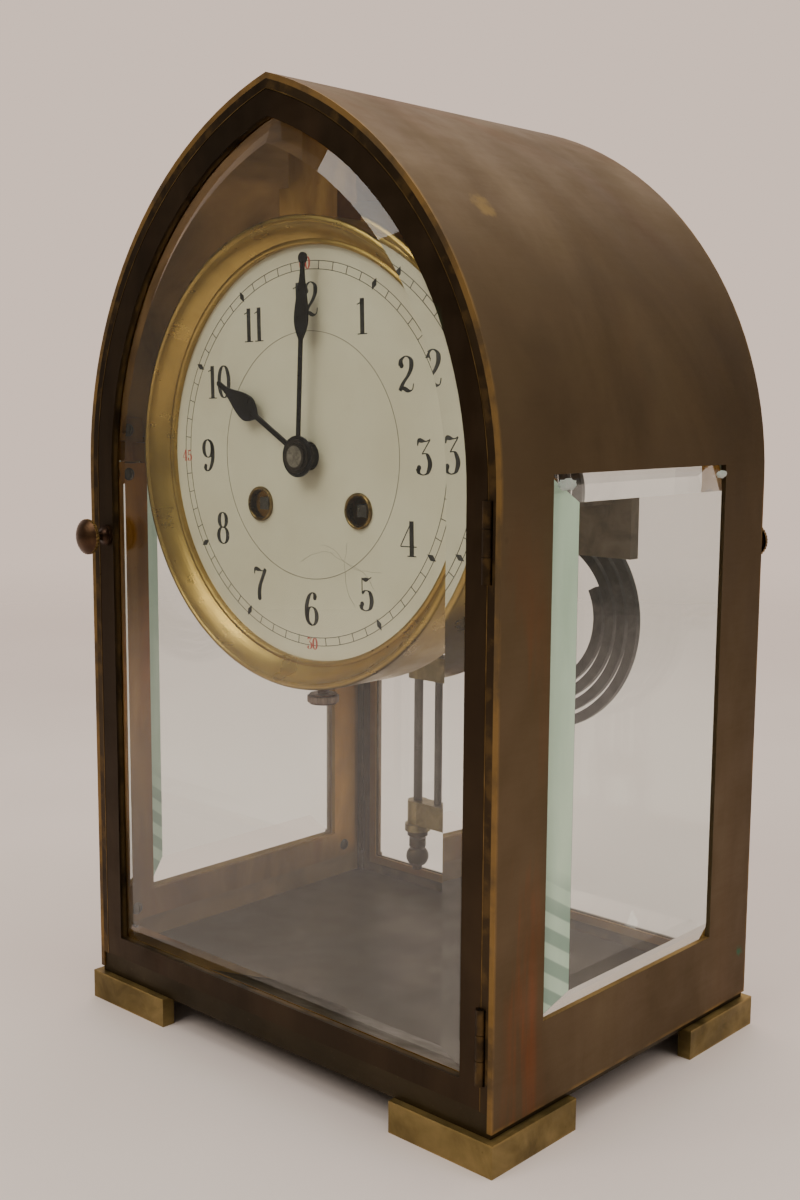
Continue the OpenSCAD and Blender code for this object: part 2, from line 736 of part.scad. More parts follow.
module winding_grommets() color(brass) for (x = [going_x, strike_x])
    turned_y([x, barrel_z], dial_y + dial_t) difference() {
        union() {
            square([winding_hole_r - 0.02, dial_t]);
            translate([0, dial_t]) square([winding_hole_r + 0.45, 0.3]);
            translate([winding_hole_r, dial_t + 0.47]) circle(r = 0.45);
        }
        square([winding_hole_r - 0.5, 3 * dial_t]);
        translate([0, -over]) square([winding_hole_r + 2, over]);
    }

module bezel_thumbscrew() color(dark_bronze) {
    turned_z(0, screw_y, dial_z - bezel_r - 5.8) {
        square([3.8, 2.8]);
        translate([0, 0.5]) square([4.3, 1.8]);
        square([1.6, 8.5]);
    }
}

// Bracket from each side wall to the bezel band, with the plate that is screwed to the wall.
module side_brackets() color(orange_brass) difference() {
    for (side = [-1, 1]) mirror([side > 0 ? 0 : 1, 0, 0]) {
        intersection() {
            translate([bracket_x, bracket_y0, bracket_z0])
                cube([8, bracket_y1 - bracket_y0, bracket_z1 - bracket_z0]);
            along_y(front_y, -front_y) lancet(shell_t + seat, base_top);
        }
        translate([bezel_r - 6, bracket_y1 - 4, bracket_z0])
            cube([bracket_x - bezel_r + 7, 4, bracket_z1 - bracket_z0 - 7.4]);
    }
    rod_y(centre_at, bezel_r + seat, front_y, bezel_back_y + over);
    bracket_holes(screw_r + screw_gap, bracket_x - over);
}

// Bracket from the ridge of the arch down to the bezel band.
module top_bracket() color(orange_brass) difference() {
    foot_y = bracket_y0 + 10;
    intersection() {
        union() {
            translate([-11, foot_y, dial_z]) cube([22, 9, bezel_r + 8]);
            translate([-8, foot_y + 0.6, dial_z]) cube([16, 7, case_h]);
        }
        along_y(front_y, -front_y) lancet(shell_t + seat, base_top);
    }
    rod_y(centre_at, bezel_r + seat, front_y, -front_y);
}

// Hands -------------------------------------------------------------------

// Half width of a hand at distance r: thin shank, pear-shaped swelling from r0 to r1.
function pear(t) = t < 0.28 ? sin(90 * t / 0.28) : pow(cos(90 * (t - 0.28) / 0.72), 1.7);
function hand_half(r, shank, r0, r1, swell) =
    r < r0 || r > r1 ? shank : shank + swell * pear((r - r0) / (r1 - r0));
module hand_outline(shank, r0, r1, swell, last) {
    steps = [for (i = [0:16]) r0 + (r1 - r0) * i / 16];
    side = concat([[0, shank]], [for (r = steps) [r, hand_half(r, shank, r0, r1, swell)]], [[last, shank]]);
    polygon(concat(side, [for (i = [len(side) - 1:-1:0]) [side[i][0], -side[i][1]]]));
}

// Stands a hand drawn along +X at the given clock angle, with its hub and end ball.
module hand(angle, y, hub, bore, at, ball) difference() {
    union() {
        translate([0, 0, dial_z]) along_y(y - hand_t, y) rotate(90 - angle) children();
        rod_y(centre_at, hub, y - hand_t, y);
        rod_y(centre_at + point_at(at, 90 - angle), ball, y - hand_t, y);
    }
    rod_y(centre_at, bore, y - hand_t - over, y + over);
}

module hour_hand() color(blue_steel) hand(hour_angle, hour_y, 4.4, hour_pipe_r, hour_len - 0.6, 0.75)
    hand_outline(0.7, 20.5, hour_len - 2.6, 2.9, hour_len - 0.6);

module minute_hand() color(blue_steel) hand(minute_angle, minute_y, 5.6, centre_r, minute_len, 1.5)
    hand_outline(0.6, 31, minute_len - 2.5, 1.9, minute_len);

module hand_nut() color(olive_brass) turned_y(centre_at, nut_y) difference() {
    union() {
        square([4.6, 0.5]);
        square([3.7, 1.1]);
    }
    translate([0, -over]) square([centre_r, over + 0.7]);
}

// Movement frame ------------------------------------------------------------

module plate_pivots(r, places, y0, y1) {
    for (at = places) rod_y(at, r + pivot_play, y0 - over, y1 + over);
}

module front_plate() color(brass) difference() {
    y1 = front_plate_y + plate_t;
    band_in = bezel_r - bezel_wall - seat;
    union() {
        rod_y(centre_at, plate_r, front_plate_y, y1);
        intersection() {
            rod_y(centre_at, band_in, front_plate_y, y1);
            for (angle = [0, 90, 180]) translate([0, 0, dial_z]) along_y(front_plate_y, y1)
                rotate(angle) translate([0, -5]) square([band_in + over, 10]);
        }
    }
    plate_pivots(hour_pipe_bore, [centre_at], front_plate_y, y1);
    plate_pivots(winding_arbor_r, [going_at, strike_at], front_plate_y, y1);
    plate_pivots(pivot_r, [third_at, escape_at, pallet_at, strike_wheel_at, fly_at, hammer_at],
        front_plate_y, y1);
}

module back_plate() color(brass) difference() {
    y1 = back_plate_y + plate_t;
    rod_y(centre_at, plate_r, back_plate_y, y1);
    plate_pivots(centre_r, [centre_at, pallet_at], back_plate_y, y1);
    plate_pivots(winding_arbor_r, [going_at, strike_at], back_plate_y, y1);
    plate_pivots(pivot_r, [third_at, escape_at, strike_wheel_at, fly_at], back_plate_y, y1);
    plate_pivots(centre_r, [hammer_at], back_plate_y, y1);
}

module pillars() color(brass) for (angle = pillar_angles)
    turned_y(centre_at + point_at(pillar_reach, angle), back_plate_y) {
        square([pillar_r, plate_gap]);
        translate([0, plate_gap / 2 - 3]) square([pillar_r + 1, 6]);
    }

// Trains ----------------------------------------------------------------------

// Phase that puts a gap of n teeth along `angle`, for the wheel whose mate has a tooth there.
function gap_phase(n, angle) = angle + 180 / n;

module barrel(at, gear_y, m, phase) {
    difference() {
        union() {
            rod_y(at, barrel_r, barrel_y0, barrel_y1);
            wheel_disc(at, barrel_teeth, m, phase, gear_y[0], gear_y[1]);
            rod_y(at, 6, min(gear_y[0], barrel_y0), max(gear_y[1], barrel_y1));
        }
        rod_y(at, winding_arbor_r + pivot_play, front_plate_y, back_plate_y + over);
    }
}
module wheel_disc(at, n, m, phase, y0, y1) {
    translate([at[0], 0, at[1]]) along_y(y0, y1) teeth(n, m, phase);
}
// Winding arbor with its square end and ratchet wheel.
module winding_arbor(at) {
    rod_y(at, winding_arbor_r, ratchet_y[0] - 1, back_plate_y + plate_t);
    rod_y(at, 2, winding_end_y + 2, ratchet_y[0]);
    translate([at[0] - winding_square / 2, winding_end_y, at[1] - winding_square / 2])
        cube([winding_square, ratchet_y[0] - winding_end_y, winding_square]);
    translate([at[0], 0, at[1]]) along_y(ratchet_y[0], ratchet_y[1]) polygon([
        for (i = [0:ratchet_teeth - 1], k = [[ratchet_r, 0], [ratchet_r - 0.9, 0.08]])
            point_at(k[0], (i + k[1]) * 360 / ratchet_teeth)]);
}
// Click that bears on a ratchet from the side given by the sign.
module click_at(at, side) {
    click_pivot = at + [side * 5.5, -8.6];
    translate([click_pivot[0], 0, click_pivot[1]]) along_y(ratchet_y[0], ratchet_y[1]) difference() {
        union() {
            circle(r = 2);
            polygon([[-side * 1.9, 0.4], [side * 1.6, 1], [side * 0.9, 5.2], [side * 0.1, 5.2]]);
        }
        circle(r = 0.8);
    }
    rod_y(click_pivot, 0.8, ratchet_y[0] - 0.4, front_plate_y);
}

module going_barrel() color(brass)
    barrel(going_at, going_gear_y, barrel_m, heading(going_at, centre_at));
module going_winding_arbor() color(steel) winding_arbor(going_at);
module going_click() color(steel) click_at(going_at, 1);

// Centre arbor: pinion driven by the barrel, great wheel, and the pinion that turns the hour wheel.
module centre_wheel() color(brass) {
    rod_y(centre_at, centre_r, nut_y - 0.7, back_plate_y + plate_t);
    wheel(centre_at, centre_teeth, centre_m, third_angle, centre_r - 0.2,
        centre_wheel_y[0], centre_wheel_y[1]);
    pinion(centre_at, centre_pinion_teeth, barrel_m,
        gap_phase(centre_pinion_teeth, heading(centre_at, going_at)), centre_r - 0.2,
        going_gear_y[0], going_gear_y[1]);
    pinion(centre_at, cannon_teeth, cannon_m, minute_angle_at, centre_r - 0.2, motion_y[0], motion_y[1]);
}

module plain_arbor(at) {
    rod_y(at, arbor_r, between_y + rest_gap, back_plate_y - rest_gap);
    rod_y(at, pivot_r, front_plate_y, back_plate_y + plate_t);
}
module third_wheel() color(brass) {
    plain_arbor(third_at);
    pinion(third_at, third_pinion_teeth, centre_m, gap_phase(third_pinion_teeth, third_angle + 180),
        pivot_r, centre_wheel_y[0], centre_wheel_y[1]);
    wheel(third_at, third_teeth, third_m, escape_angle, pivot_r, third_wheel_y[0], third_wheel_y[1]);
}
module escape_wheel() color(brass) {
    plain_arbor(escape_at);
    pinion(escape_at, escape_pinion_teeth, third_m, gap_phase(escape_pinion_teeth, escape_angle + 180),
        pivot_r, third_wheel_y[0] - 1, third_wheel_y[1] + 1);
    root_r = escape_r - 1.4;
    translate([escape_at[0], 0, escape_at[1]]) along_y(escape_wheel_y[0], escape_wheel_y[1]) difference() {
        polygon([for (i = [0:escape_teeth - 1], k = [[escape_r, 0], [root_r, 0.25], [root_r, 0.85]])
            point_at(k[0], (i + k[1]) * 360 / escape_teeth)]);
        circle(r = pivot_r);
        difference() {
            circle(r = escape_r - 2.4);
            circle(r = 2);
            for (i = [0:3]) rotate(i * 90) translate([0, -0.5]) square([escape_r, 1]);
        }
    }
}

// Pallet arbor: anchor over the escape wheel and the crutch that reaches the pendulum rod.
module pallets() color(steel) {
    pallet_tip = [0, -pallet_drop] + point_at(escape_r + 1.3, 33);
    rod_y(pallet_at, arbor_r, between_y + rest_gap, crutch_y[1]);
    rod_y(pallet_at, pivot_r, front_plate_y, between_y + over);
    translate([0, 0, pivot_z]) along_y(escape_wheel_y[0], escape_wheel_y[1]) difference() {
        union() {
            circle(r = 2.4);
            for (side = [-1, 1]) polygon([[0, 2], [side * (pallet_tip[0] + 1.6), pallet_tip[1] + 2.6],
                [side * (pallet_tip[0] + 0.6), pallet_tip[1]], [side * pallet_tip[0], pallet_tip[1] + 0.6],
                [side * (pallet_tip[0] - 0.2), pallet_tip[1] + 3.4], [0, -2]]);
        }
        circle(r = pivot_r);
    }
    translate([-1, crutch_y[0], pivot_z - crutch_len]) cube([2, crutch_y[1] - crutch_y[0], crutch_len]);
    for (side = [-1, 1]) translate([side * (rod_r + 1.2) - 0.8, crutch_y[0], pivot_z - crutch_len])
        cube([1.6, pendulum_y + rod_r - crutch_y[0], 2]);
    translate([-rod_r - 2, crutch_y[0], pivot_z - crutch_len])
        cube([2 * rod_r + 4, crutch_y[1] - crutch_y[0], 2]);
}

// Motion work under the dial
module minute_wheel() color(brass) {
    rod_y(minute_at, 1, minute_pinion_y[0], front_plate_y - 0.2);
    wheel(minute_at, minute_teeth, cannon_m, gap_phase(minute_teeth, minute_angle_at + 180), 0.9,
        motion_y[0], motion_y[1]);
    pinion(minute_at, minute_pinion_teeth, hour_m, minute_angle_at + 180, 0.9,
        minute_pinion_y[0], motion_y[0] + 0.1);
}
module hour_wheel() color(brass) difference() {
    union() {
        translate([0, 0, dial_z]) along_y(minute_pinion_y[0] + 0.2, minute_pinion_y[1])
            teeth(hour_teeth, hour_m, gap_phase(hour_teeth, minute_angle_at));
        rod_y(centre_at, hour_pipe_r, hour_y - hand_t - 0.2, minute_pinion_y[1]);
    }
    rod_y(centre_at, hour_pipe_bore, hour_y - 4, front_plate_y);
}

// Striking train
module strike_barrel() color(brass)
    barrel(strike_at, strike_gear_y, strike_m, strike_wheel_angle);
module strike_winding_arbor() color(steel) winding_arbor(strike_at);
module strike_click() color(steel) click_at(strike_at, -1);

module strike_wheel() color(brass) {
    plain_arbor(strike_wheel_at);
    pinion(strike_wheel_at, strike_pinion_teeth, strike_m,
        gap_phase(strike_pinion_teeth, strike_wheel_angle + 180), pivot_r,
        strike_gear_y[0], strike_gear_y[1]);
    wheel(strike_wheel_at, strike_teeth, fly_m, fly_angle, pivot_r,
        strike_wheel_y[0], strike_wheel_y[1]);
}
module fly() color(brass) {
    plain_arbor(fly_at);
    pinion(fly_at, fly_pinion_teeth, fly_m, gap_phase(fly_pinion_teeth, fly_angle + 180),
        pivot_r, strike_wheel_y[0] - 1, strike_wheel_y[1] + 1);
    translate([fly_at[0] - 6, strike_wheel_y[1] + 3, fly_at[1] - 0.35]) cube([12, 10, 0.7]);
}

// Hammer: arbor through both plates, arm and round head beside the gong.
module hammer() color(steel) {
    head_at = hammer_at - [hammer_lean, hammer_drop];
    rod_y(hammer_at, arbor_r + 0.4, between_y + rest_gap, gong_y + gong_t);
    rod_y(hammer_at, pivot_r, front_plate_y, between_y + over);
    translate([hammer_at[0], 0, hammer_at[1]]) along_y(gong_y, gong_y + gong_t)
        polygon([[-1.6, 1.6], [1.6, 1.6],
            [0.9 - hammer_lean, -hammer_drop], [-0.9 - hammer_lean, -hammer_drop]]);
    rod_y(head_at, hammer_head_r, gong_y - 3, gong_y + gong_t + 3);
}

// Pendulum --------------------------------------------------------------------

module suspension_cock() color(brass) difference() {
    union() {
        translate([-5, back_face_y, cock_z[0]])
            cube([10, pendulum_y + 4 - back_face_y, cock_z[1] - cock_z[0]]);
        intersection() {
            translate([-9, back_face_y, cock_z[0] - 9.4]) cube([18, 2, 18]);
            rod_y(centre_at, plate_r, back_face_y, back_face_y + 2);
        }
    }
    translate([-spring_t / 2 - 0.3, pendulum_y - 2.6, cock_z[0] - over])
        cube([spring_t + 0.6, 5.2, cock_z[1] - cock_z[0] - 2 + over]);
    rod_y(pallet_at, 2.4, back_face_y - over, back_face_y + 3);
    translate([-2.6, back_face_y - over, pivot_z - 40]) cube([5.2, 4, 40]);
}

// Suspension spring, hook and rod down to the lower block.
module pendulum_rod() color(steel) {
    hook_z = pivot_z - 8;
    translate([-spring_t / 2, pendulum_y - 2.3, hook_z]) cube([spring_t, 4.6, 10.8]);
    translate([-2, pendulum_y - 2.6, hook_z - 6]) cube([4, 5.2, 7]);
    translate([0, pendulum_y, tube_low_z - block_h + 0.6])
        cylinder(r = rod_r, h = hook_z - tube_low_z + block_h - 2);
}

module pendulum_tubes() color(steel) for (side = [-1, 1])
    translate([side * tube_x, pendulum_y, tube_low_z - 2])
        cylinder(r = tube_d / 2, h = tube_top_z - tube_low_z + 4);

// Block with a round boss on each tube and a bar between.
module tube_block(z) {
    for (side = [-1, 1]) translate([side * tube_x, pendulum_y, z])
        cylinder(r = block_half_y, h = block_h);
    translate([-tube_x, pendulum_y - block_half_y + 0.5, z])
        cube([2 * tube_x, 2 * block_half_y - 1, block_h]);
}
module pendulum_blocks() color(brass) difference() {
    union() {
        tube_block(tube_top_z);
        tube_block(tube_low_z - block_h);
        for (side = [-1, 1]) translate([side * tube_x, pendulum_y, tube_low_z - block_h - flange_h])
            cylinder(r = block_half_y + 0.8, h = flange_h);
    }
    for (side = [-1, 1]) translate([side * tube_x, pendulum_y, tube_low_z - 2])
        cylinder(r = tube_d / 2 + 0.01, h = tube_top_z - tube_low_z + 4);
    translate([0, pendulum_y, tube_low_z - block_h + 0.6]) cylinder(r = rod_r + 0.01, h = case_h);
}

// Turned finial under each tube, from its neck down to its button.
module pendulum_finials() color(dark_bronze) for (side = [-1, 1])
    turned_z(side * tube_x, pendulum_y, tube_low_z - block_h - flange_h - finial_h) {
        translate([0, 1]) square([1.3, finial_h - 1]);
        translate([0, finial_h - 1.6]) square([3.2, 1.6]);
        translate([0, 7.4]) square([2.6, 2.6]);
        intersection() {
            translate([0, 4.2]) circle(r = 3.5);
            translate([0, 1.6]) square([3.5, 5]);
        }
        square([1.5, 2]);
    }

// Gong --------------------------------------------------------------------------

// Arc of gong wire about a centre on the gong's level, between two angles.
module gong_arc(cx, r, a0, a1) {
    span = a1 - a0;
    far = 2 * gong_r;
    translate([cx, 0]) intersection() {
        difference() {
            circle(r = r + gong_wire / 2);
            circle(r = r - gong_wire / 2);
        }
        polygon(concat([[0, 0]], [for (i = [0:4]) point_at(far, a0 + span * i / 4)]));
    }
}

module gong_coil() color(dark_iron) {
    inner = gong_r - gong_wire / 2 - (gong_turns - 1) * gong_pitch;
    shift = gong_pitch / 2;
    translate([gong_at[0], 0, gong_at[1]]) along_y(gong_y, gong_y + gong_t) {
        gong_arc(shift, inner - shift, 0, 27);
        for (i = [0:gong_turns - 1]) gong_arc(0, inner + i * gong_pitch, 180, 360);
        for (i = [0:gong_turns - 2]) gong_arc(shift, inner + shift + i * gong_pitch, 0, 180);
        gong_arc(shift, inner + shift + (gong_turns - 1) * gong_pitch, 52, 180);
    }
}

// Iron block that carries the outer end of the gong, on an arm from the back plate.
module gong_block() color(dark_iron) {
    face_y = gong_y - gong_gap;
    end_r = gong_r - gong_wire / 2 + gong_pitch / 2;
    end_at = [gong_at[0] + gong_pitch / 2, gong_at[1]] + point_at(end_r, 58);
    arm_x = plate_r - 12;
    translate([gong_block_x[0], face_y - gong_block_t, gong_block_z[0]])
        cube([gong_block_x[1] - gong_block_x[0], gong_block_t, gong_block_z[1] - gong_block_z[0]]);
    rod_y(end_at, 1.3, face_y - 1, gong_y);
    translate([arm_x, back_face_y, gong_block_z[1] - 9])
        cube([8, face_y - gong_block_t + over - back_face_y, 9]);
}

case_shell();
front_rim();
rear_rim();
base_plate();
foot_front_left();
foot_front_right();
foot_rear_left();
foot_rear_right();
side_glass_left();
side_glass_right();
side_frame_left();
side_frame_right();
case_screws();
front_door_frame();
front_door_glass();
front_glass_retainer();
front_knob();
rear_door_frame();
rear_door_glass();
rear_glass_retainer();
rear_knob();
case_hinge_leaves();
hinge_pins();
front_door_hinge_leaves();
rear_door_hinge_leaves();
dial();
bezel();
winding_grommets();
bezel_thumbscrew();
side_brackets();
top_bracket();
hour_hand();
minute_hand();
hand_nut();
front_plate();
back_plate();
pillars();
going_barrel();
going_winding_arbor();
going_click();
centre_wheel();
third_wheel();
escape_wheel();
pallets();
minute_wheel();
hour_wheel();
strike_barrel();
strike_winding_arbor();
strike_click();
strike_wheel();
fly();
hammer();
suspension_cock();
pendulum_rod();
pendulum_tubes();
pendulum_blocks();
pendulum_finials();
gong_block();
gong_coil();
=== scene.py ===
"""Looks for the arched mantel clock: materials, dial printing, knurls and worn edges around the CAD frame."""

import math
import random

import bmesh
import bpy
from mathutils import Matrix, Vector


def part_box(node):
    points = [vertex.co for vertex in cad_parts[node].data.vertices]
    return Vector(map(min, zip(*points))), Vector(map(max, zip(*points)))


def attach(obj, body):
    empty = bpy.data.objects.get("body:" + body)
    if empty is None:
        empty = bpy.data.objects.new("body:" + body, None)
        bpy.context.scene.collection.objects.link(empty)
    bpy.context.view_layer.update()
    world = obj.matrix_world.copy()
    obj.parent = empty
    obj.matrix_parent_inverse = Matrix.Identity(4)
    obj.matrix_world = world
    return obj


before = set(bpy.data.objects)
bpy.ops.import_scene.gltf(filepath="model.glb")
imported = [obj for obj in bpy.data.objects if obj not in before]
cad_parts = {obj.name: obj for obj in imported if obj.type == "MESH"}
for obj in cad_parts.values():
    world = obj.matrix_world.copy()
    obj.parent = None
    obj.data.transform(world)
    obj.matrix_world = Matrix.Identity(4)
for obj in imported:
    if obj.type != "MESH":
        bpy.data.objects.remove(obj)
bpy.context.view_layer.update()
MM = 0.001

# ---- Places taken from the frame -------------------------------------------------

shell_low, shell_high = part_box("case_shell")
bezel_low, bezel_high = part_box("bezel")
front_y, back_y = shell_low[1], shell_high[1]
half_w = shell_high[0]
ridge_z = shell_high[2]
dial_z = (bezel_low[2] + bezel_high[2]) / 2
dial_face_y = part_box("dial")[0][1]
base_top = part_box("base_plate")[1][2]
right_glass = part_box("side_glass_right")

SPRING_Z = 165 * MM                    # where the arch begins

CAMERA_AT = (0.28974, -0.32361, 0.18841)
YAW, PITCH, ROLL = 42.61, -7.91, 0.36
LENS = 44.13
BACKDROP = (0.98, 0.77, 0.65)
ROOM = (0.24, 0.21, 0.175)
BEHIND = (-0.70, 0.71, 0.0)            # the way to the backdrop

# Dial printing, in millimetres from the centre, and how far it is turned in its bezel, in degrees
HOUR_R, HOUR_HEIGHT = 41.8, 9.4
CHAPTER_R = 33.5
TRACK_R = (49.7, 51.9)
LOZENGE_R, LOZENGE_HALF_W = (52.6, 50.9, 49.2), 0.85
QUARTER_R = 51.4
DIAL_TURN = 1.5


# ---- Camera, lights and floor ------------------------------------------------------

def turned(yaw, pitch, roll):
    """Camera rotation: yaw to the left of +Y, pitch above the horizon, roll clockwise, in degrees."""
    turn = Matrix.Rotation(math.radians(yaw), 4, "Z")
    tilt = Matrix.Rotation(math.radians(90 + pitch), 4, "X")
    return turn @ tilt @ Matrix.Rotation(math.radians(roll), 4, "Z")


def add_camera():
    data = bpy.data.cameras.new("camera")
    data.lens = LENS
    data.clip_start = 0.01
    camera = bpy.data.objects.new("camera", data)
    bpy.context.collection.objects.link(camera)
    camera.matrix_world = Matrix.Translation(CAMERA_AT) @ turned(YAW, PITCH, ROLL)
    bpy.context.scene.camera = camera


def area_light(name, at, aim, size, power, colour):
    data = bpy.data.lights.new(name, "AREA")
    data.shape = "RECTANGLE"
    data.size, data.size_y = size
    data.energy = power
    data.color = colour
    lamp = bpy.data.objects.new(name, data)
    bpy.context.collection.objects.link(lamp)
    way = Vector(aim) - Vector(at)
    lamp.matrix_world = Matrix.Translation(at) @ way.to_track_quat("-Z", "Y").to_matrix().to_4x4()


def add_lights():
    """Big soft lamps, and a room that is bright behind the clock and dimmer all round."""
    area_light("overhead", (0.1, 0.1, 1.3), (0, 0, 0.1), (1.6, 1.4), 15.5, (1.0, 0.94, 0.87))
    area_light("front_fill", (-0.15, -0.95, 1.05), (0, 0, 0.15), (0.8, 0.6), 7, (1.0, 0.95, 0.88))
    area_light("right_fill", (1.0, 0.25, 0.95), (0, 0, 0.12), (0.7, 0.5), 3, (1.0, 0.96, 0.91))
    world = bpy.data.worlds.new("studio")
    world.use_nodes = True
    tree = world.node_tree
    way = tree.nodes.new("ShaderNodeTexCoord")
    facing = tree.nodes.new("ShaderNodeVectorMath")
    facing.operation = "DOT_PRODUCT"
    facing.inputs[1].default_value = BEHIND
    share = tree.nodes.new("ShaderNodeMapRange")
    share.interpolation_type = "SMOOTHSTEP"
    share.inputs["From Min"].default_value = 0.25
    share.inputs["From Max"].default_value = 0.85
    tint = tree.nodes.new("ShaderNodeMix")
    tint.data_type = "RGBA"
    tint.inputs[6].default_value = (*ROOM, 1)
    tint.inputs[7].default_value = (*BACKDROP, 1)
    tree.links.new(way.outputs["Generated"], facing.inputs[0])
    tree.links.new(facing.outputs["Value"], share.inputs["Value"])
    tree.links.new(share.outputs["Result"], tint.inputs["Factor"])
    tree.links.new(tint.outputs[2], tree.nodes["Background"].inputs["Color"])
    bpy.context.scene.world = world


# ---- Material building blocks --------------------------------------------------------

class Look:
    """One node material: a Principled shader, and short calls that add what drives it."""

    def __init__(self, name, metallic=0.0, roughness=0.5, **fixed):
        self.mat = bpy.data.materials.new(name)
        self.mat.use_nodes = True
        self.tree = self.mat.node_tree
        self.shader = self.tree.nodes["Principled BSDF"]
        self.set("Metallic", metallic)
        self.set("Roughness", roughness)
        for socket, value in fixed.items():
            self.set(socket.replace("_", " "), value)
        self.coords = self.add("ShaderNodeTexCoord").outputs["Object"]
        self.split = None
        self.colour = None

    def add(self, kind, **settings):
        node = self.tree.nodes.new(kind)
        for key, value in settings.items():
            setattr(node, key, value)
        return node

    def put(self, socket, value):
        """Links a socket, or sets a constant."""
        if isinstance(value, bpy.types.NodeSocket):
            self.tree.links.new(value, socket)
        elif hasattr(value, "__len__") and len(value) == 3 and len(socket.default_value) == 4:
            socket.default_value = (*value, 1)
        else:
            socket.default_value = value

    def set(self, name, value):
        self.put(self.shader.inputs[name], value)

    def noise(self, size, detail=3.0, stretch=(1, 1, 1), rough=0.55, twist=0.0, shift=0.0):
        """Noise with blotches about size metres across, longer along the axes where stretch is under 1."""
        place = self.add("ShaderNodeMapping")
        self.put(place.inputs["Vector"], self.coords)
        place.inputs["Scale"].default_value = [s / size for s in stretch]
        place.inputs["Location"].default_value = (shift, shift * 1.7, shift * 0.6)
        node = self.add("ShaderNodeTexNoise")
        self.put(node.inputs["Vector"], place.outputs["Vector"])
        node.inputs["Scale"].default_value = 1
        node.inputs["Detail"].default_value = detail
        node.inputs["Roughness"].default_value = rough
        node.inputs["Distortion"].default_value = twist
        return node.outputs["Fac"]

    def cells(self, size, feature="F1"):
        node = self.add("ShaderNodeTexVoronoi", feature=feature)
        self.put(node.inputs["Vector"], self.coords)
        node.inputs["Scale"].default_value = 1 / size
        return node.outputs["Distance"]

    def axis(self, name):
        if self.split is None:
            self.split = self.add("ShaderNodeSeparateXYZ")
            self.put(self.split.inputs[0], self.coords)
        return self.split.outputs[name]

    def math(self, operation, a, b=0.0):
        node = self.add("ShaderNodeMath", operation=operation)
        self.put(node.inputs[0], a)
        self.put(node.inputs[1], b)
        return node.outputs[0]

    def times(self, first, *rest):
        for value in rest:
            first = self.math("MULTIPLY", first, value)
        return first

    def distance(self, place):
        node = self.add("ShaderNodeVectorMath", operation="DISTANCE")
        self.put(node.inputs[0], self.coords)
        node.inputs[1].default_value = place
        return node.outputs["Value"]

    def fade(self, value, low, high, start=0.0, end=1.0):
        """Goes smoothly from start to end as value goes from low to high."""
        node = self.add("ShaderNodeMapRange", interpolation_type="SMOOTHSTEP")
        self.put(node.inputs["Value"], value)
        flip = low > high
        node.inputs["From Min"].default_value = high if flip else low
        node.inputs["From Max"].default_value = low if flip else high
        node.inputs["To Min"].default_value = end if flip else start
        node.inputs["To Max"].default_value = start if flip else end
        return node.outputs["Result"]

    def near(self, axis, place, reach):
        """1 at a place along an axis, falling to 0 at reach from it."""
        away = self.math("ABSOLUTE", self.math("SUBTRACT", self.axis(axis), place))
        return self.fade(away, reach, 0.0)

    def spot(self, place, reach):
        """1 at a point, falling to 0 at reach from it, with a ragged edge."""
        ragged = self.math("MULTIPLY_ADD", self.noise(reach * 0.6, 4), reach * 0.9)
        ragged.node.inputs[2].default_value = -reach * 0.45
        return self.fade(self.math("ADD", self.distance(place), ragged), reach, reach * 0.55)

    def mix(self, factor, a, b):
        node = self.add("ShaderNodeMix", data_type="RGBA")
        self.put(node.inputs["Factor"], factor)
        self.put(node.inputs[6], a)
        self.put(node.inputs[7], b)
        return node.outputs[2]

    def ramp(self, value, *stops):
        node = self.add("ShaderNodeValToRGB")
        self.put(node.inputs["Fac"], value)
        ends = node.color_ramp.elements
        while len(ends) < len(stops):
            ends.new(0.5)
        for element, (place, colour) in zip(ends, stops):
            element.position = place
            element.color = (*colour, 1)
        return node.outputs["Color"]

    def bump(self, height, strength, depth):
        node = self.add("ShaderNodeBump")
        node.inputs["Strength"].default_value = strength
        node.inputs["Distance"].default_value = depth
        self.put(node.inputs["Height"], height)
        self.set("Normal", node.outputs["Normal"])

    def lay(self, mask, strength, colour):
        """Lays a colour over the metal's own, as far as mask times strength says."""
        self.colour = self.mix(self.times(mask, strength), self.colour, colour)

    def see_through(self, factor, colour=(1, 1, 1)):
        """Turns the surface into plain transparency of a colour, as far as factor says."""
        clear = self.add("ShaderNodeBsdfTransparent")
        self.put(clear.inputs["Color"], colour)
        both = self.add("ShaderNodeMixShader")
        self.put(both.inputs["Fac"], factor)
        self.put(both.inputs[1], self.shader.outputs["BSDF"])
        self.put(both.inputs[2], clear.outputs["BSDF"])
        self.put(self.tree.nodes["Material Output"].inputs["Surface"], both.outputs["Shader"])

    def finish(self):
        """Hands the layered colour to the shader, and the material back."""
        self.set("Base Color", self.colour)
        return self.mat


def srgb(*values):
    """A colour as it looks on screen, 0 to 255, in linear light."""
    return tuple(((v / 255 + 0.055) / 1.055) ** 2.4 if v > 10 else v / 255 / 12.92 for v in values)


# ---- Metals ---------------------------------------------------------------------------

GOLD = srgb(168, 132, 70)
UPRIGHT = (1, 1, 0.25)
EVEN = (1, 1, 1)


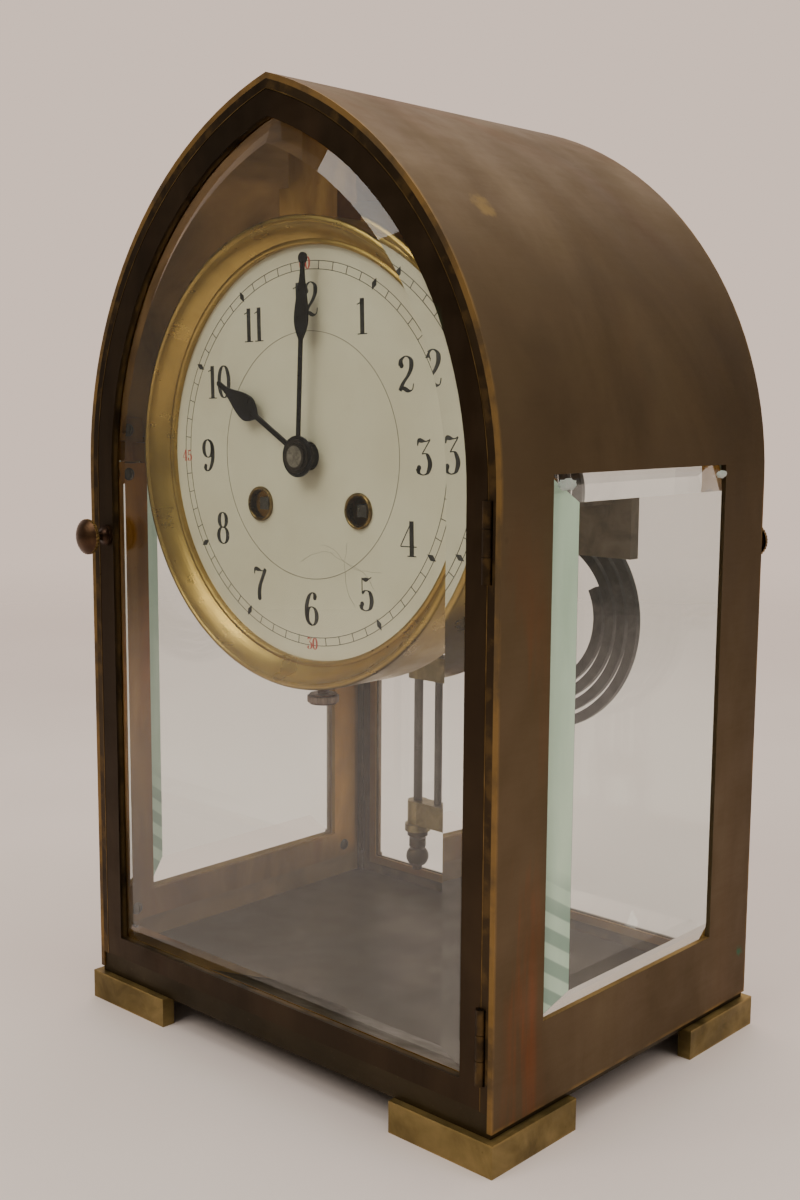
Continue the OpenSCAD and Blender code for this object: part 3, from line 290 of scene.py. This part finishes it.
def aged_metal(name, dark, mid, light, roughness, blotch, streak=UPRIGHT, metallic=0.9,
               speck=0.35, tint=None, grain=0.22):
    """Brass, bronze or steel under an uneven patina, with soft streaks, small dark specks and hair scratches.

    The three tones are as seen on screen. Blotch is the size of the clouds, in metres.
    """
    dark, mid, light = (srgb(*tone) for tone in (dark, mid, light))
    look = Look(name, metallic=metallic)
    cloud = look.noise(blotch, 5, streak, 0.6, 0.6)
    colour = look.ramp(cloud, (0.28, dark), (0.5, mid), (0.72, light))
    if tint:
        warm = look.fade(look.noise(blotch * 1.6, 3, (1, 1, 0.18), 0.6, 0.4, 3.1), 0.52, 0.72)
        colour = look.mix(look.times(warm, 0.6), colour, srgb(*tint))
    specks = look.fade(look.cells(blotch * 0.12), 0.16, 0.05)
    thin = look.fade(look.noise(blotch * 0.5, 4, shift=7.0), 0.52, 0.66)
    look.colour = look.mix(look.times(specks, thin, speck), colour, dark)
    fine = look.noise(0.0016, 3, (0.12, 0.12, 1), 0.7)
    wear = look.noise(blotch * 0.3, 5, shift=2.0)
    look.set("Roughness", look.fade(look.math("ADD", look.times(fine, 0.25), wear), 0.3, 1.0,
                                    roughness - 0.08, roughness + 0.16))
    look.bump(look.math("ADD", look.times(fine, 0.5), look.noise(0.0009, 4)), grain, 0.06 * MM)
    return look


def gold_edges(look, masks, gold, strength):
    """Worn bright edges where any mask is high, broken up by noise."""
    worn = masks[0]
    for mask in masks[1:]:
        worn = look.math("MAXIMUM", worn, mask)
    broken = look.fade(look.noise(0.012, 4, shift=5.0), 0.36, 0.6)
    look.lay(look.times(worn, broken), strength, gold)


def inward(look):
    """1 on the faces that look in towards the middle of the case, 0 outside."""
    flat = look.add("ShaderNodeVectorMath", operation="MULTIPLY_ADD")
    look.put(flat.inputs[0], look.coords)
    flat.inputs[1].default_value = (1, 0, 1)
    flat.inputs[2].default_value = (0, 0, -SPRING_Z * 0.75)
    side = look.add("ShaderNodeVectorMath", operation="DOT_PRODUCT")
    look.put(side.inputs[0], look.add("ShaderNodeTexCoord").outputs["Normal"])
    look.put(side.inputs[1], flat.outputs["Vector"])
    return look.fade(side.outputs["Value"], 0.0, -5 * MM)


def case_metal():
    """The arched sheet: brown patina with gold edges outside, bright lacquered brass inside."""
    look = aged_metal("case_bronze", (82, 66, 46), (97, 80, 57), (110, 93, 68), 0.54, 0.06,
                      tint=(106, 72, 46), speck=0.3)
    rust = look.fade(look.noise(0.02, 4, (1, 1, 0.12), 0.6, 0.5, 4.0), 0.45, 0.62)
    beside = look.times(look.near("Y", right_glass[0][1] - 8 * MM, 14 * MM),
                        look.fade(look.axis("Z"), 0.17, 0.10))
    look.lay(look.times(rust, beside), 0.75, srgb(140, 78, 40))
    front = look.near("Y", front_y, 1.1 * MM)
    rear = look.near("Y", back_y, 1.0 * MM)
    foot = look.near("Z", shell_low[2], 1.2 * MM)
    gold_edges(look, (front, rear, foot), GOLD, 0.5)
    bright = look.ramp(look.noise(0.03, 5, twist=0.8), (0.3, srgb(138, 106, 62)), (0.7, srgb(190, 152, 92)))
    look.lay(inward(look), 1.0, bright)
    verdigris = look.spot((half_w - 2 * MM, back_y - 4 * MM, 24 * MM), 3 * MM)
    look.lay(verdigris, 1.0, srgb(60, 104, 78))
    rubbed = look.spot((52 * MM, -38 * MM, 233 * MM), 5 * MM)
    look.lay(rubbed, 0.5, srgb(150, 124, 70))
    return look.finish()


def rim_metal():
    look = aged_metal("rim_bronze", (46, 36, 24), (58, 46, 31), (74, 60, 40), 0.42, 0.02)
    look.lay(look.fade(look.noise(0.006, 4, shift=1.0), 0.5, 0.66), 0.35, srgb(120, 94, 52))
    return look.finish()


def door_metal():
    """Dark outside, with gold showing where the frame turns in towards the glass."""
    look = aged_metal("door_bronze", (42, 32, 20), (54, 42, 28), (66, 53, 36), 0.40, 0.03, tint=(64, 44, 28))
    inside = look.fade(look.axis("Y"), front_y + 0.3 * MM, front_y + 1.4 * MM)
    gold = look.times(inside, look.fade(look.noise(0.01, 3, shift=4.0), 0.3, 0.6))
    look.lay(gold, 0.5, srgb(128, 100, 58))
    look.lay(look.spot((54 * MM, front_y, 205 * MM), 7 * MM), 0.5, srgb(70, 100, 70))
    return look.finish()


def foot_metal():
    look = aged_metal("foot_brass", (96, 82, 48), (132, 114, 70), (158, 138, 90), 0.48, 0.018, EVEN, speck=0.7)
    top = look.near("Z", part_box("foot_front_left")[1][2], 0.8 * MM)
    low = look.near("Z", 0.0, 0.7 * MM)
    gold_edges(look, (top, low), srgb(176, 150, 92), 0.6)
    return look.finish()


def floor_plate_metal():
    look = aged_metal("floor_plate", (40, 34, 22), (54, 46, 31), (66, 57, 40), 0.42, 0.04, EVEN, speck=0.5)
    dust = look.fade(look.noise(0.0012, 5), 0.6, 0.78)
    look.lay(dust, 0.15, srgb(140, 128, 108))
    return look.finish()


def bezel_metal():
    look = aged_metal("bezel_brass", (150, 122, 62), (170, 141, 75), (186, 157, 88), 0.30, 0.03, EVEN,
                      metallic=1.0, speck=0.3, grain=0.08)
    lacquer = look.fade(look.noise(0.007, 5, shift=6.0), 0.6, 0.76)
    look.lay(lacquer, 0.18, srgb(130, 98, 48))
    return look.finish()


def nut_metal():
    """Dark collet with a paler worn disc in front."""
    look = aged_metal("collet_steel", (34, 28, 24), (50, 42, 36), (66, 56, 48), 0.34, 0.004, EVEN,
                      metallic=0.8)
    disc = look.fade(look.distance((0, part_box("hand_nut")[0][1], dial_z)), 3.1 * MM, 2.7 * MM)
    worn = look.ramp(look.noise(0.0016, 5, twist=0.6), (0.3, srgb(96, 88, 76)), (0.7, srgb(158, 150, 136)))
    look.lay(disc, 1.0, worn)
    return look.finish()


def steel(name, level, roughness):
    """Grey steel, darker as level falls."""
    tones = (tuple(level * v for v in tone) for tone in ((74, 72, 68), (118, 114, 108), (160, 156, 148)))
    return aged_metal(name, *tones, roughness, 0.008, (1, 1, 0.3), metallic=1.0).finish()


# ---- Enamel, ink and glass ---------------------------------------------------------------

def enamel_look():
    """Ivory enamel, faintly stained and gently uneven under its shine."""
    look = Look("enamel", roughness=0.16, Specular_IOR_Level=0.55, Coat_Weight=0.6, Coat_Roughness=0.06)
    base = look.ramp(look.noise(0.03, 4, twist=0.4), (0.3, srgb(210, 199, 170)), (0.7, srgb(222, 213, 186)))
    stain = look.fade(look.noise(0.006, 5, shift=3.0), 0.62, 0.8)
    base = look.mix(look.times(stain, 0.22), base, srgb(186, 170, 140))
    look.set("Base Color", base)
    look.bump(look.noise(0.006, 2), 0.06, 0.0001)
    return look.mat


def ink_look(name, *tone):
    """Fired ink, a little thinner in places."""
    colour = srgb(*tone)
    look = Look(name, roughness=0.3, Specular_IOR_Level=0.4)
    thin = look.fade(look.noise(0.0012, 4), 0.35, 0.75)
    lighter = tuple(c + 0.03 for c in colour)
    look.set("Base Color", look.mix(thin, colour, lighter))
    return look.mat


def glass_look():
    """Clear plate glass, greenish through its depth, that lets lamps through to what is behind it."""
    look = Look("plate_glass", roughness=0.0, IOR=1.52, Transmission_Weight=1.0,
                Base_Color=(0.985, 1.0, 0.992))
    look.see_through(look.add("ShaderNodeLightPath").outputs["Is Shadow Ray"], (0.93, 0.96, 0.94))
    depth = look.add("ShaderNodeVolumeAbsorption")
    look.put(depth.inputs["Color"], (0.36, 0.75, 0.62))
    look.put(depth.inputs["Density"], 7.0)
    look.put(look.tree.nodes["Material Output"].inputs["Volume"], depth.outputs["Volume"])
    return look.mat


def chip_look():
    """Rough broken glass."""
    look = Look("chipped_glass", roughness=0.35, IOR=1.5, Transmission_Weight=0.55)
    tone = look.ramp(look.noise(0.002, 4), (0.3, (0.62, 0.78, 0.70)), (0.7, (0.88, 0.93, 0.90)))
    look.set("Base Color", tone)
    look.bump(look.noise(0.0012, 4), 0.6, 0.0005)
    return look.mat


def table_look():
    """Pale table top that melts into the backdrop far from the clock."""
    look = Look("table", roughness=0.6, Specular_IOR_Level=0.2)
    tone = look.ramp(look.noise(0.2, 3), (0.3, srgb(226, 214, 208)), (0.7, srgb(234, 222, 216)))
    look.set("Base Color", tone)
    look.see_through(look.fade(look.distance((0, 0, 0)), 0.35, 1.3))
    return look.mat


# ---- Mesh building blocks ------------------------------------------------------------------

def placed(mesh, material):
    """A new object that shows a mesh in one material."""
    mesh.materials.append(material)
    piece = bpy.data.objects.new(mesh.name, mesh)
    bpy.context.collection.objects.link(piece)
    return piece


def new_mesh(name, verts, faces):
    mesh = bpy.data.meshes.new(name)
    mesh.from_pydata([tuple(v) for v in verts], [], faces)
    mesh.validate()
    return mesh


def new_piece(name, verts, faces, material, body):
    """A closed piece that rides on a body."""
    piece = placed(new_mesh(name, verts, faces), material)
    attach(piece, body)
    shape = bmesh.new()
    shape.from_mesh(piece.data)
    bmesh.ops.recalc_face_normals(shape, faces=shape.faces)
    shape.to_mesh(piece.data)
    shape.free()


def polar(r, angle):
    """The point at r from the centre, at an angle in radians."""
    return r * math.cos(angle), r * math.sin(angle)


def circle(r, steps):
    return [polar(r, math.tau * i / steps) for i in range(steps)]


def add_floor():
    radius, sides = 2.5, 96
    ring = [(x, y, 0) for x, y in circle(radius, sides)]
    floor = placed(new_mesh("table_top", ring, [list(range(sides))]), table_look())


class Print:
    """Flat printed shapes on the dial, gathered into one thin raised mesh.

    x is to the right and y up from the centre, in millimetres.
    """

    def __init__(self, lift):
        self.levels = (lift, -0.05 * MM)
        self.verts = []
        self.faces = []
        self.cos, self.sin = polar(1, math.radians(DIAL_TURN))

    def corner(self, x, y, depth):
        """A point of the print on the dial, which sits slightly askew in its bezel."""
        across, up = x * self.cos - y * self.sin, x * self.sin + y * self.cos
        self.verts.append((across * MM, dial_face_y - depth, dial_z + up * MM))

    def outline(self, points):
        """A filled closed shape, given as a convex ring of points, with a thin edge."""
        start = len(self.verts)
        count = len(points)
        for depth in self.levels:
            for x, y in points:
                self.corner(x, y, depth)
        self.faces.append([start + i for i in range(count)])
        self.faces.append([start + count + i for i in reversed(range(count))])
        for i in range(count):
            j = (i + 1) % count
            self.faces.append([start + i, start + count + i, start + count + j, start + j])

    def ribbon(self, points, widths, closed=False):
        """A band along a line of points, as wide at each one as widths says."""
        sides = []
        count = len(points)
        for i, (x, y) in enumerate(points):
            before = points[(i - 1) % count] if closed or i else points[0]
            after = points[(i + 1) % count] if closed or i < count - 1 else points[-1]
            along = Vector((after[0] - before[0], after[1] - before[1])).normalized()
            across = Vector((-along.y, along.x)) * widths[i] / 2
            sides.append(((x + across.x, y + across.y), (x - across.x, y - across.y)))
        start = len(self.verts)
        top, low = self.levels
        for a, b in sides:
            for point, depth in ((a, top), (b, top), (b, low), (a, low)):
                self.corner(*point, depth)
        for i in range(count if closed else count - 1):
            a, b = start + 4 * i, start + 4 * ((i + 1) % count)
            for k in range(4):
                n = (k + 1) % 4
                self.faces.append([a + k, b + k, b + n, a + n])
        if not closed:
            last = start + 4 * (count - 1)
            self.faces.append([start, start + 1, start + 2, start + 3])
            self.faces.append([last + 3, last + 2, last + 1, last])

    def dot(self, x, y, r):
        self.outline([(x + across, y + up) for across, up in circle(r, 20)])

    def ring(self, r, width):
        points = circle(r, 180)
        self.ribbon(points, [width] * len(points), closed=True)

    def piece(self, name, material):
        new_piece(name, self.verts, self.faces, material, "case")


# ---- Numerals: round-hand skeletons drawn with a pen that is thick upright and thin across ----

def curve_through(points, steps=7):
    """A smooth line through the points."""
    if len(points) == 2:
        return list(points)
    padded = [points[0]] + list(points) + [points[-1]]
    line = []
    for i in range(1, len(padded) - 2):
        p0, p1, p2, p3 = (Vector(p) for p in padded[i - 1:i + 3])
        for k in range(steps):
            t = k / steps
            line.append(0.5 * (2 * p1 + (p2 - p0) * t + (2 * p0 - 5 * p1 + 4 * p2 - p3) * t * t
                               + (3 * p1 - p0 - 3 * p2 + p3) * t * t * t))
    line.append(Vector(points[-1]))
    return [(p[0], p[1]) for p in line]


def oval(cx, cy, rx, ry, start=0.0, end=360.0):
    """A run round an oval from one angle to another, in degrees."""
    steps = 32
    turns = (math.radians(start + (end - start) * i / steps) for i in range(steps + 1))
    return [(cx + rx * math.cos(a), cy + ry * math.sin(a)) for a in turns]


# Each numeral, for a height of 1: its width, its strokes, and its balls as (x, y, radius).
# A "pen" stroke is shaded by direction, a "wave" swells in the middle, and a "stem" is thick all along.
NUMERALS = {
    "0": (0.60, [("pen", oval(0.30, 0.5, 0.22, 0.475))], []),
    "1": (0.42, [("stem", [(0.22, 0.02), (0.22, 0.99)]),
                 ("thin", [(0.22, 0.97), (0.13, 0.86), (0.03, 0.83)]),
                 ("thin", [(0.04, 0.02), (0.40, 0.02)])], []),
    "2": (0.62, [("pen", curve_through([(0.10, 0.72), (0.13, 0.88), (0.30, 0.975), (0.47, 0.88), (0.49, 0.68),
                                        (0.38, 0.47), (0.20, 0.27), (0.07, 0.06)])),
                 ("wave", curve_through([(0.06, 0.06), (0.20, 0.12), (0.38, 0.05), (0.52, 0.08),
                                         (0.57, 0.24)]))],
          [(0.14, 0.73, 0.075)]),
    "3": (0.60, [("wave", curve_through([(0.08, 0.80), (0.12, 0.94), (0.26, 0.93), (0.40, 0.92),
                                         (0.53, 0.97)])),
                 ("thin", [(0.53, 0.96), (0.24, 0.58)]),
                 ("pen", curve_through([(0.24, 0.58), (0.41, 0.57), (0.52, 0.33), (0.44, 0.09), (0.28, 0.02),
                                        (0.13, 0.07), (0.08, 0.20)]))],
          [(0.125, 0.21, 0.075)]),
    "4": (0.64, [("stem", [(0.44, 0.02), (0.44, 0.98)]), ("thin", [(0.44, 0.97), (0.03, 0.29)]),
                 ("thin", [(0.03, 0.28), (0.62, 0.28)]), ("thin", [(0.28, 0.02), (0.60, 0.02)])], []),
    "5": (0.58, [("thin", [(0.13, 0.95), (0.13, 0.50)]),
                 ("wave", curve_through([(0.12, 0.93), (0.26, 0.90), (0.40, 0.93), (0.50, 0.98)])),
                 ("pen", curve_through([(0.13, 0.50), (0.26, 0.59), (0.42, 0.55), (0.50, 0.33), (0.44, 0.10),
                                        (0.28, 0.02), (0.13, 0.06), (0.08, 0.19)]))],
          [(0.125, 0.20, 0.075)]),
    "6": (0.60, [("pen", curve_through([(0.47, 0.83), (0.42, 0.94), (0.33, 0.975), (0.19, 0.85), (0.09, 0.55),
                                        (0.12, 0.18), (0.30, 0.02)])),
                 ("pen", oval(0.31, 0.29, 0.20, 0.27, 200, -160))],
          [(0.44, 0.83, 0.068)]),
    "7": (0.58, [("wave", curve_through([(0.06, 0.80), (0.10, 0.95), (0.26, 0.93), (0.42, 0.90),
                                         (0.55, 0.97)])),
                 ("pen", curve_through([(0.55, 0.96), (0.42, 0.70), (0.30, 0.45), (0.26, 0.22),
                                        (0.27, 0.04)]))],
          [(0.27, 0.075, 0.075)]),
    "8": (0.60, [("pen", oval(0.30, 0.745, 0.165, 0.23)), ("pen", oval(0.30, 0.275, 0.21, 0.255))], []),
    "9": (0.60, [("pen", curve_through([(0.13, 0.17), (0.18, 0.06), (0.27, 0.025), (0.41, 0.15), (0.51, 0.45),
                                        (0.48, 0.82), (0.30, 0.98)])),
                 ("pen", oval(0.29, 0.71, 0.20, 0.27, 20, 380))],
          [(0.16, 0.17, 0.068)]),
}
THICK, THIN, GAP = 0.155, 0.03, 0.03


def pen_widths(kind, points):
    """Width at each point: stems are thick, thin lines are not, and a pen is thick where it runs upright."""
    widths = []
    for i in range(len(points)):
        a, b = points[max(i - 1, 0)], points[min(i + 1, len(points) - 1)]
        run = Vector((b[0] - a[0], b[1] - a[1])).normalized()
        if kind == "pen":
            share = abs(run.y) ** 2.2
        elif kind == "wave":
            t = i / (len(points) - 1)
            share = 0.75 * math.sin(math.pi * min(t * 1.35, 1.0)) ** 2
        else:
            share = 1.0 if kind == "stem" else 0.0
        widths.append(THIN + (THICK - THIN) * share)
    return widths


def draw_number(sheet, text, cx, cy, height, boldness=1.0):
    """Draws a number centred on (cx, cy), in millimetres."""
    total = sum(NUMERALS[c][0] for c in text) + GAP * (len(text) - 1)
    left = cx - total * height / 2
    low = cy - height / 2
    for c in text:
        width, strokes, balls = NUMERALS[c]
        for kind, points in strokes:
            widths = [w * height * boldness for w in pen_widths(kind, points)]
            sheet.ribbon([(left + x * height, low + y * height) for x, y in points], widths)
        for x, y, r in balls:
            sheet.dot(left + x * height, low + y * height, r * height)
        left += (width + GAP) * height


def add_dial_printing():
    """Hour numerals, lozenges between them, the minute track, the red quarters and the hairline cracks."""
    hours = Print(0.06 * MM)
    for hour in range(1, 13):
        draw_number(hours, str(hour), *polar(HOUR_R, math.radians(90 - 30 * hour)), HOUR_HEIGHT)
    for hour in (1, 2, 4, 5, 7, 8, 10, 11):
        out = Vector(polar(1, math.radians(90 - 30 * hour)))
        side = Vector((-out.y, out.x)) * LOZENGE_HALF_W
        tip, middle, root = (out * r for r in LOZENGE_R)
        corners = (tip, middle + side, root, middle - side)
        hours.outline([(p.x, p.y) for p in corners])
    hours.piece("dial_numerals", ink_look("dial_ink", 20, 18, 18))
    track = Print(0.05 * MM)
    for r in TRACK_R:
        track.ring(r, 0.16)
    track.ring(CHAPTER_R, 0.12)
    for minute in range(60):
        if minute % 15:
            track.ribbon([polar(r, math.radians(6 * minute)) for r in TRACK_R], [0.2, 0.2])
    track.piece("dial_minute_track", ink_look("track_ink", 44, 40, 38))
    quarters = Print(0.07 * MM)
    for text, angle in (("60", 90), ("15", 0), ("30", 270), ("45", 180)):
        draw_number(quarters, text, *polar(QUARTER_R, math.radians(angle)), 3.3, 1.15)
    quarters.piece("dial_quarter_numbers", ink_look("dial_red", 178, 62, 48))
    cracks = Print(0.03 * MM)
    rng = random.Random(4)
    stride, bend = 1.5, 0.28
    starts = ((4, -24, 0.15, 16), (8, -26, -0.75, 13), (14, -23, -1.5, 12), (-4, -29, 0.5, 9))
    for x, y, heading, steps in starts:
        points = [(x, y)]
        for _ in range(steps):
            heading += rng.uniform(-bend, bend)
            along, up = polar(stride, heading)
            x, y = x + along, y + up
            points.append((x, y))
        cracks.ribbon(points, [0.07] * len(points))
    cracks.piece("dial_hairlines", ink_look("dial_hairline", 120, 112, 98))


# ---- Small detail pieces -------------------------------------------------------------------

def knurl(name, centre, axis, radius, height, teeth, material, body):
    """A milled ring of small upright teeth round a knob's edge."""
    side = Vector((1, 0, 0))
    up = axis.cross(side)
    verts, faces = [], []
    count = teeth * 4
    tooth = 0.16 * MM
    levels = ((-0.5, 0.985, tooth), (-0.42, 1.0, tooth), (0.42, 1.0, tooth), (0.5, 0.985, tooth),
              (-0.5, 0.9, 0), (0.5, 0.9, 0))
    for level, swell, rise in levels:
        for i in range(count):
            x, y = polar(radius * swell + (rise if i % 4 in (1, 2) else 0), math.tau * i / count)
            verts.append(centre + axis * height * level + side * x + up * y)
    rings = [count * k for k in (4, 0, 1, 2, 3, 5)]
    for a, b in zip(rings, rings[1:] + rings[:1]):
        for i in range(count):
            j = (i + 1) % count
            faces.append([a + i, a + j, b + j, b + i])
    new_piece(name, verts, faces, material, body)


def add_knurls():
    """Milled edges on the two door knobs and on the thumbscrew under the bezel."""
    brassy = aged_metal("knurl_brass", (70, 54, 32), (118, 94, 56), (160, 130, 80), 0.36, 0.004, EVEN).finish()
    radius = 5.1 * MM
    for body, way in (("front_knob", -1), ("rear_knob", 1)):
        low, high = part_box(body)
        outer = low[1] if way < 0 else high[1]
        centre = Vector(((low[0] + high[0]) / 2, outer - way * 2.6 * MM, high[2] - radius))
        knurl(body + "_knurl", centre, Vector((0, 1, 0)), radius, 1.0 * MM, 34, brassy, body)
    low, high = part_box("bezel_thumbscrew")
    centre = Vector(((low[0] + high[0]) / 2, (low[1] + high[1]) / 2, low[2] + 1.4 * MM))
    knurl("thumbscrew_knurl", centre, Vector((0, 0, 1)), (high[0] - low[0]) / 2, 1.8 * MM, 30,
          bpy.data.materials["dark_bronze"], "case")


def lancet_line(inset, bottom):
    """The arch outline, inset from the outside of the case, from the bottom left over the ridge."""
    steps = 40
    rise = ridge_z - SPRING_Z
    offset = (rise * rise - half_w * half_w) / (2 * half_w)
    radius = half_w + offset - inset
    top = math.asin(math.sqrt(radius * radius - offset * offset) / radius)
    arc = (polar(radius, top * i / steps) for i in range(steps + 1))
    right = [(x - offset, SPRING_Z + z) for x, z in arc]
    left = [(-x, z) for x, z in right]
    return [(inset - half_w, bottom)] + left + right[-2::-1] + [(half_w - inset, bottom)]


def add_seams():
    """The bright worn edge that shows all round each door, between it and its rim."""
    material = aged_metal("worn_edge", (70, 54, 32), (108, 86, 50), (150, 122, 74), 0.34, 0.012, EVEN,
                          speck=0.7).finish()
    inset, width, lift = 3.9 * MM, 0.24 * MM, 0.05 * MM
    bottom = base_top + 0.1 * MM
    for end, way in (("front", -1), ("rear", 1)):
        face = front_y if way < 0 else back_y
        proud = face + way * lift
        outer, inner = lancet_line(inset - width, bottom), lancet_line(inset, bottom)
        verts, faces = [], []
        for (ax, az), (bx, bz) in zip(outer, inner):
            verts += [(ax, face, az), (ax, proud, az), (bx, proud, bz), (bx, face, bz)]
        for i in range(len(outer) - 1):
            for k in range(4):
                n = (k + 1) % 4
                faces.append([4 * i + k, 4 * i + 4 + k, 4 * i + 4 + n, 4 * i + n])
        last = 4 * (len(outer) - 1)
        faces += [[0, 1, 2, 3], [last + 3, last + 2, last + 1, last]]
        new_piece(end + "_rim_worn_edge", verts, faces, material, "case")


def green_bevel_look():
    """Deep pale green glow that a thick bevel shows from inside the pane, painted in as colour with its own
    emission, with painted darker stepped facets near its foot.
    """
    look = Look("painted_bevel_glow", roughness=0.4)
    tone = look.ramp(look.noise(0.01, 4, (1, 1, 0.15)), (0.3, srgb(178, 198, 174)), (0.7, srgb(206, 220, 198)))
    # Painted shade: darker stepped facets across the foot of the band, standing in for the bevel's refraction.
    slant = look.math("ADD", look.axis("Z"), look.times(look.axis("Y"), 0.7))
    rung = look.math("PINGPONG", slant, 4 * MM)
    step = look.fade(rung, 1.7 * MM, 2.3 * MM)
    foot = look.fade(look.axis("Z"), right_glass[0][2] + 42 * MM, right_glass[0][2] + 26 * MM)
    tone = look.mix(look.times(step, foot, 0.6), tone, srgb(96, 128, 112))
    look.set("Base Color", tone)
    # Painted glow: the band gives off its own light, though it is no lamp.
    look.set("Emission Color", tone)
    look.set("Emission Strength", 0.2)
    return look.mat


def add_green_bevels():
    """A painted, self-lit green band, standing in for the light that the front bevel of each side glass shows,
    just under the surface of the glass.
    """
    material = green_bevel_look()
    bevel, rise, under = 8.3 * MM, 5.39 * MM, 0.06 * MM
    for side, way in (("left", -1), ("right", 1)):
        low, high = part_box("side_glass_" + side)
        face = high[0] if way > 0 else low[0]
        edge_y, inner_y = low[1] + under, low[1] + bevel
        corners = ((rise, edge_y, low[2] + under), (0, inner_y, low[2] + bevel),
                   (0, inner_y, high[2] - bevel), (rise, edge_y, high[2] - under))
        verts = [(face - way * (drop + depth), y, z) for depth in (under, 2 * under) for drop, y, z in corners]
        faces = [[0, 1, 2, 3], [7, 6, 5, 4]] + [[i, (i + 1) % 4, 4 + (i + 1) % 4, 4 + i] for i in range(4)]
        new_piece(f"side_glass_{side}_painted_bevel_glow", verts, faces, material, "case")


def add_chips():
    """Small flakes broken from the corners of the right side glass."""
    material = chip_look()
    low, high = right_glass
    x, z = high[0] - 2.1 * MM, high[2] - 4 * MM
    rng = random.Random(11)
    for index, (y, size) in enumerate(((low[1] + 6 * MM, 2.6), (high[1] - 5 * MM, 1.8))):
        shape = bmesh.new()
        bmesh.ops.create_icosphere(shape, subdivisions=3, radius=1)
        for vert in shape.verts:
            push = (0.75 + 0.35 * rng.random()) * MM
            stretch = Matrix.Diagonal((0.5 * push, size * 1.5 * push, size * 0.6 * push))
            vert.co = stretch @ vert.co + Vector((x, y, z))
        mesh = bpy.data.meshes.new(f"glass_chip_{index + 1}")
        shape.to_mesh(mesh)
        shape.free()
        piece = placed(mesh, material)
        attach(piece, "case")


def dress(material, *nodes):
    """Gives CAD nodes a material."""
    for node in nodes:
        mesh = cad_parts[node].data
        mesh.materials.clear()
        mesh.materials.append(material)


def dress_all():
    dress(case_metal(), "case_shell")
    dress(rim_metal(), "front_rim", "rear_rim", "case_hinge_leaves", "front_door_hinge_leaves",
          "rear_door_hinge_leaves")
    dress(door_metal(), "front_door_frame", "rear_door_frame")
    dress(aged_metal("dark_bronze", (40, 27, 20), (62, 44, 32), (92, 68, 46), 0.36, 0.006,
                     tint=(96, 52, 34), speck=0.5).finish(),
          "front_knob", "rear_knob", "bezel_thumbscrew")
    dress(floor_plate_metal(), "base_plate")
    dress(foot_metal(), "foot_front_left", "foot_front_right", "foot_rear_left", "foot_rear_right")
    dress(aged_metal("frame_brass", (122, 84, 40), (164, 122, 62), (192, 150, 82), 0.42, 0.02, (1, 1, 0.3),
                     speck=0.6, tint=(160, 96, 52)).finish(),
          "side_frame_left", "side_frame_right", "side_brackets", "top_bracket", "front_glass_retainer",
          "rear_glass_retainer")
    dress(bezel_metal(), "bezel")
    dress(aged_metal("grommet_brass", (70, 56, 32), (112, 92, 54), (150, 126, 78), 0.3, 0.003, EVEN,
                     metallic=1.0, speck=0.6).finish(),
          "winding_grommets")
    dress(nut_metal(), "hand_nut")
    dress(aged_metal("movement_brass", (134, 104, 54), (178, 142, 78), (204, 168, 100), 0.3, 0.012, EVEN,
                     metallic=1.0).finish(),
          "front_plate", "back_plate", "pillars", "going_barrel", "strike_barrel", "centre_wheel",
          "third_wheel", "escape_wheel", "minute_wheel", "strike_wheel", "fly", "suspension_cock")
    dress(aged_metal("block_brass", (92, 80, 48), (120, 106, 68), (146, 130, 88), 0.34, 0.006, EVEN,
                     metallic=1.0).finish(),
          "pendulum_blocks")
    dress(aged_metal("finial_brass", (32, 26, 16), (50, 40, 26), (74, 60, 40), 0.40, 0.004, EVEN,
                     tint=(90, 64, 40)).finish(),
          "pendulum_finials")
    dress(steel("steel", 0.95, 0.26), "pallets", "hammer", "going_winding_arbor", "strike_winding_arbor")
    dress(steel("pendulum_steel", 0.66, 0.34), "pendulum_rod", "pendulum_tubes")
    dress(steel("dark_steel", 0.5, 0.36), "case_screws", "hinge_pins", "going_click", "strike_click",
          "hour_wheel")
    dress(aged_metal("blued_steel", (14, 13, 16), (24, 22, 26), (40, 38, 46), 0.30, 0.006, EVEN,
                     metallic=0.8, speck=0.3).finish(),
          "hour_hand", "minute_hand")
    dress(aged_metal("gong_iron", (50, 47, 46), (74, 71, 70), (98, 94, 92), 0.4, 0.008, EVEN,
                     metallic=0.85).finish(),
          "gong_coil")
    dress(aged_metal("gong_block_iron", (120, 104, 86), (148, 132, 112), (168, 152, 130), 0.6, 0.008, EVEN,
                     metallic=0.15, speck=0.6).finish(),
          "gong_block")
    dress(enamel_look(), "dial")
    dress(glass_look(), "side_glass_left", "side_glass_right", "front_door_glass", "rear_door_glass")


add_camera()
add_lights()
add_floor()
dress_all()
add_dial_printing()
add_knurls()
add_seams()
# Painted glowing green bands just inside the front bevels of the side glasses.
add_green_bevels()
add_chips()
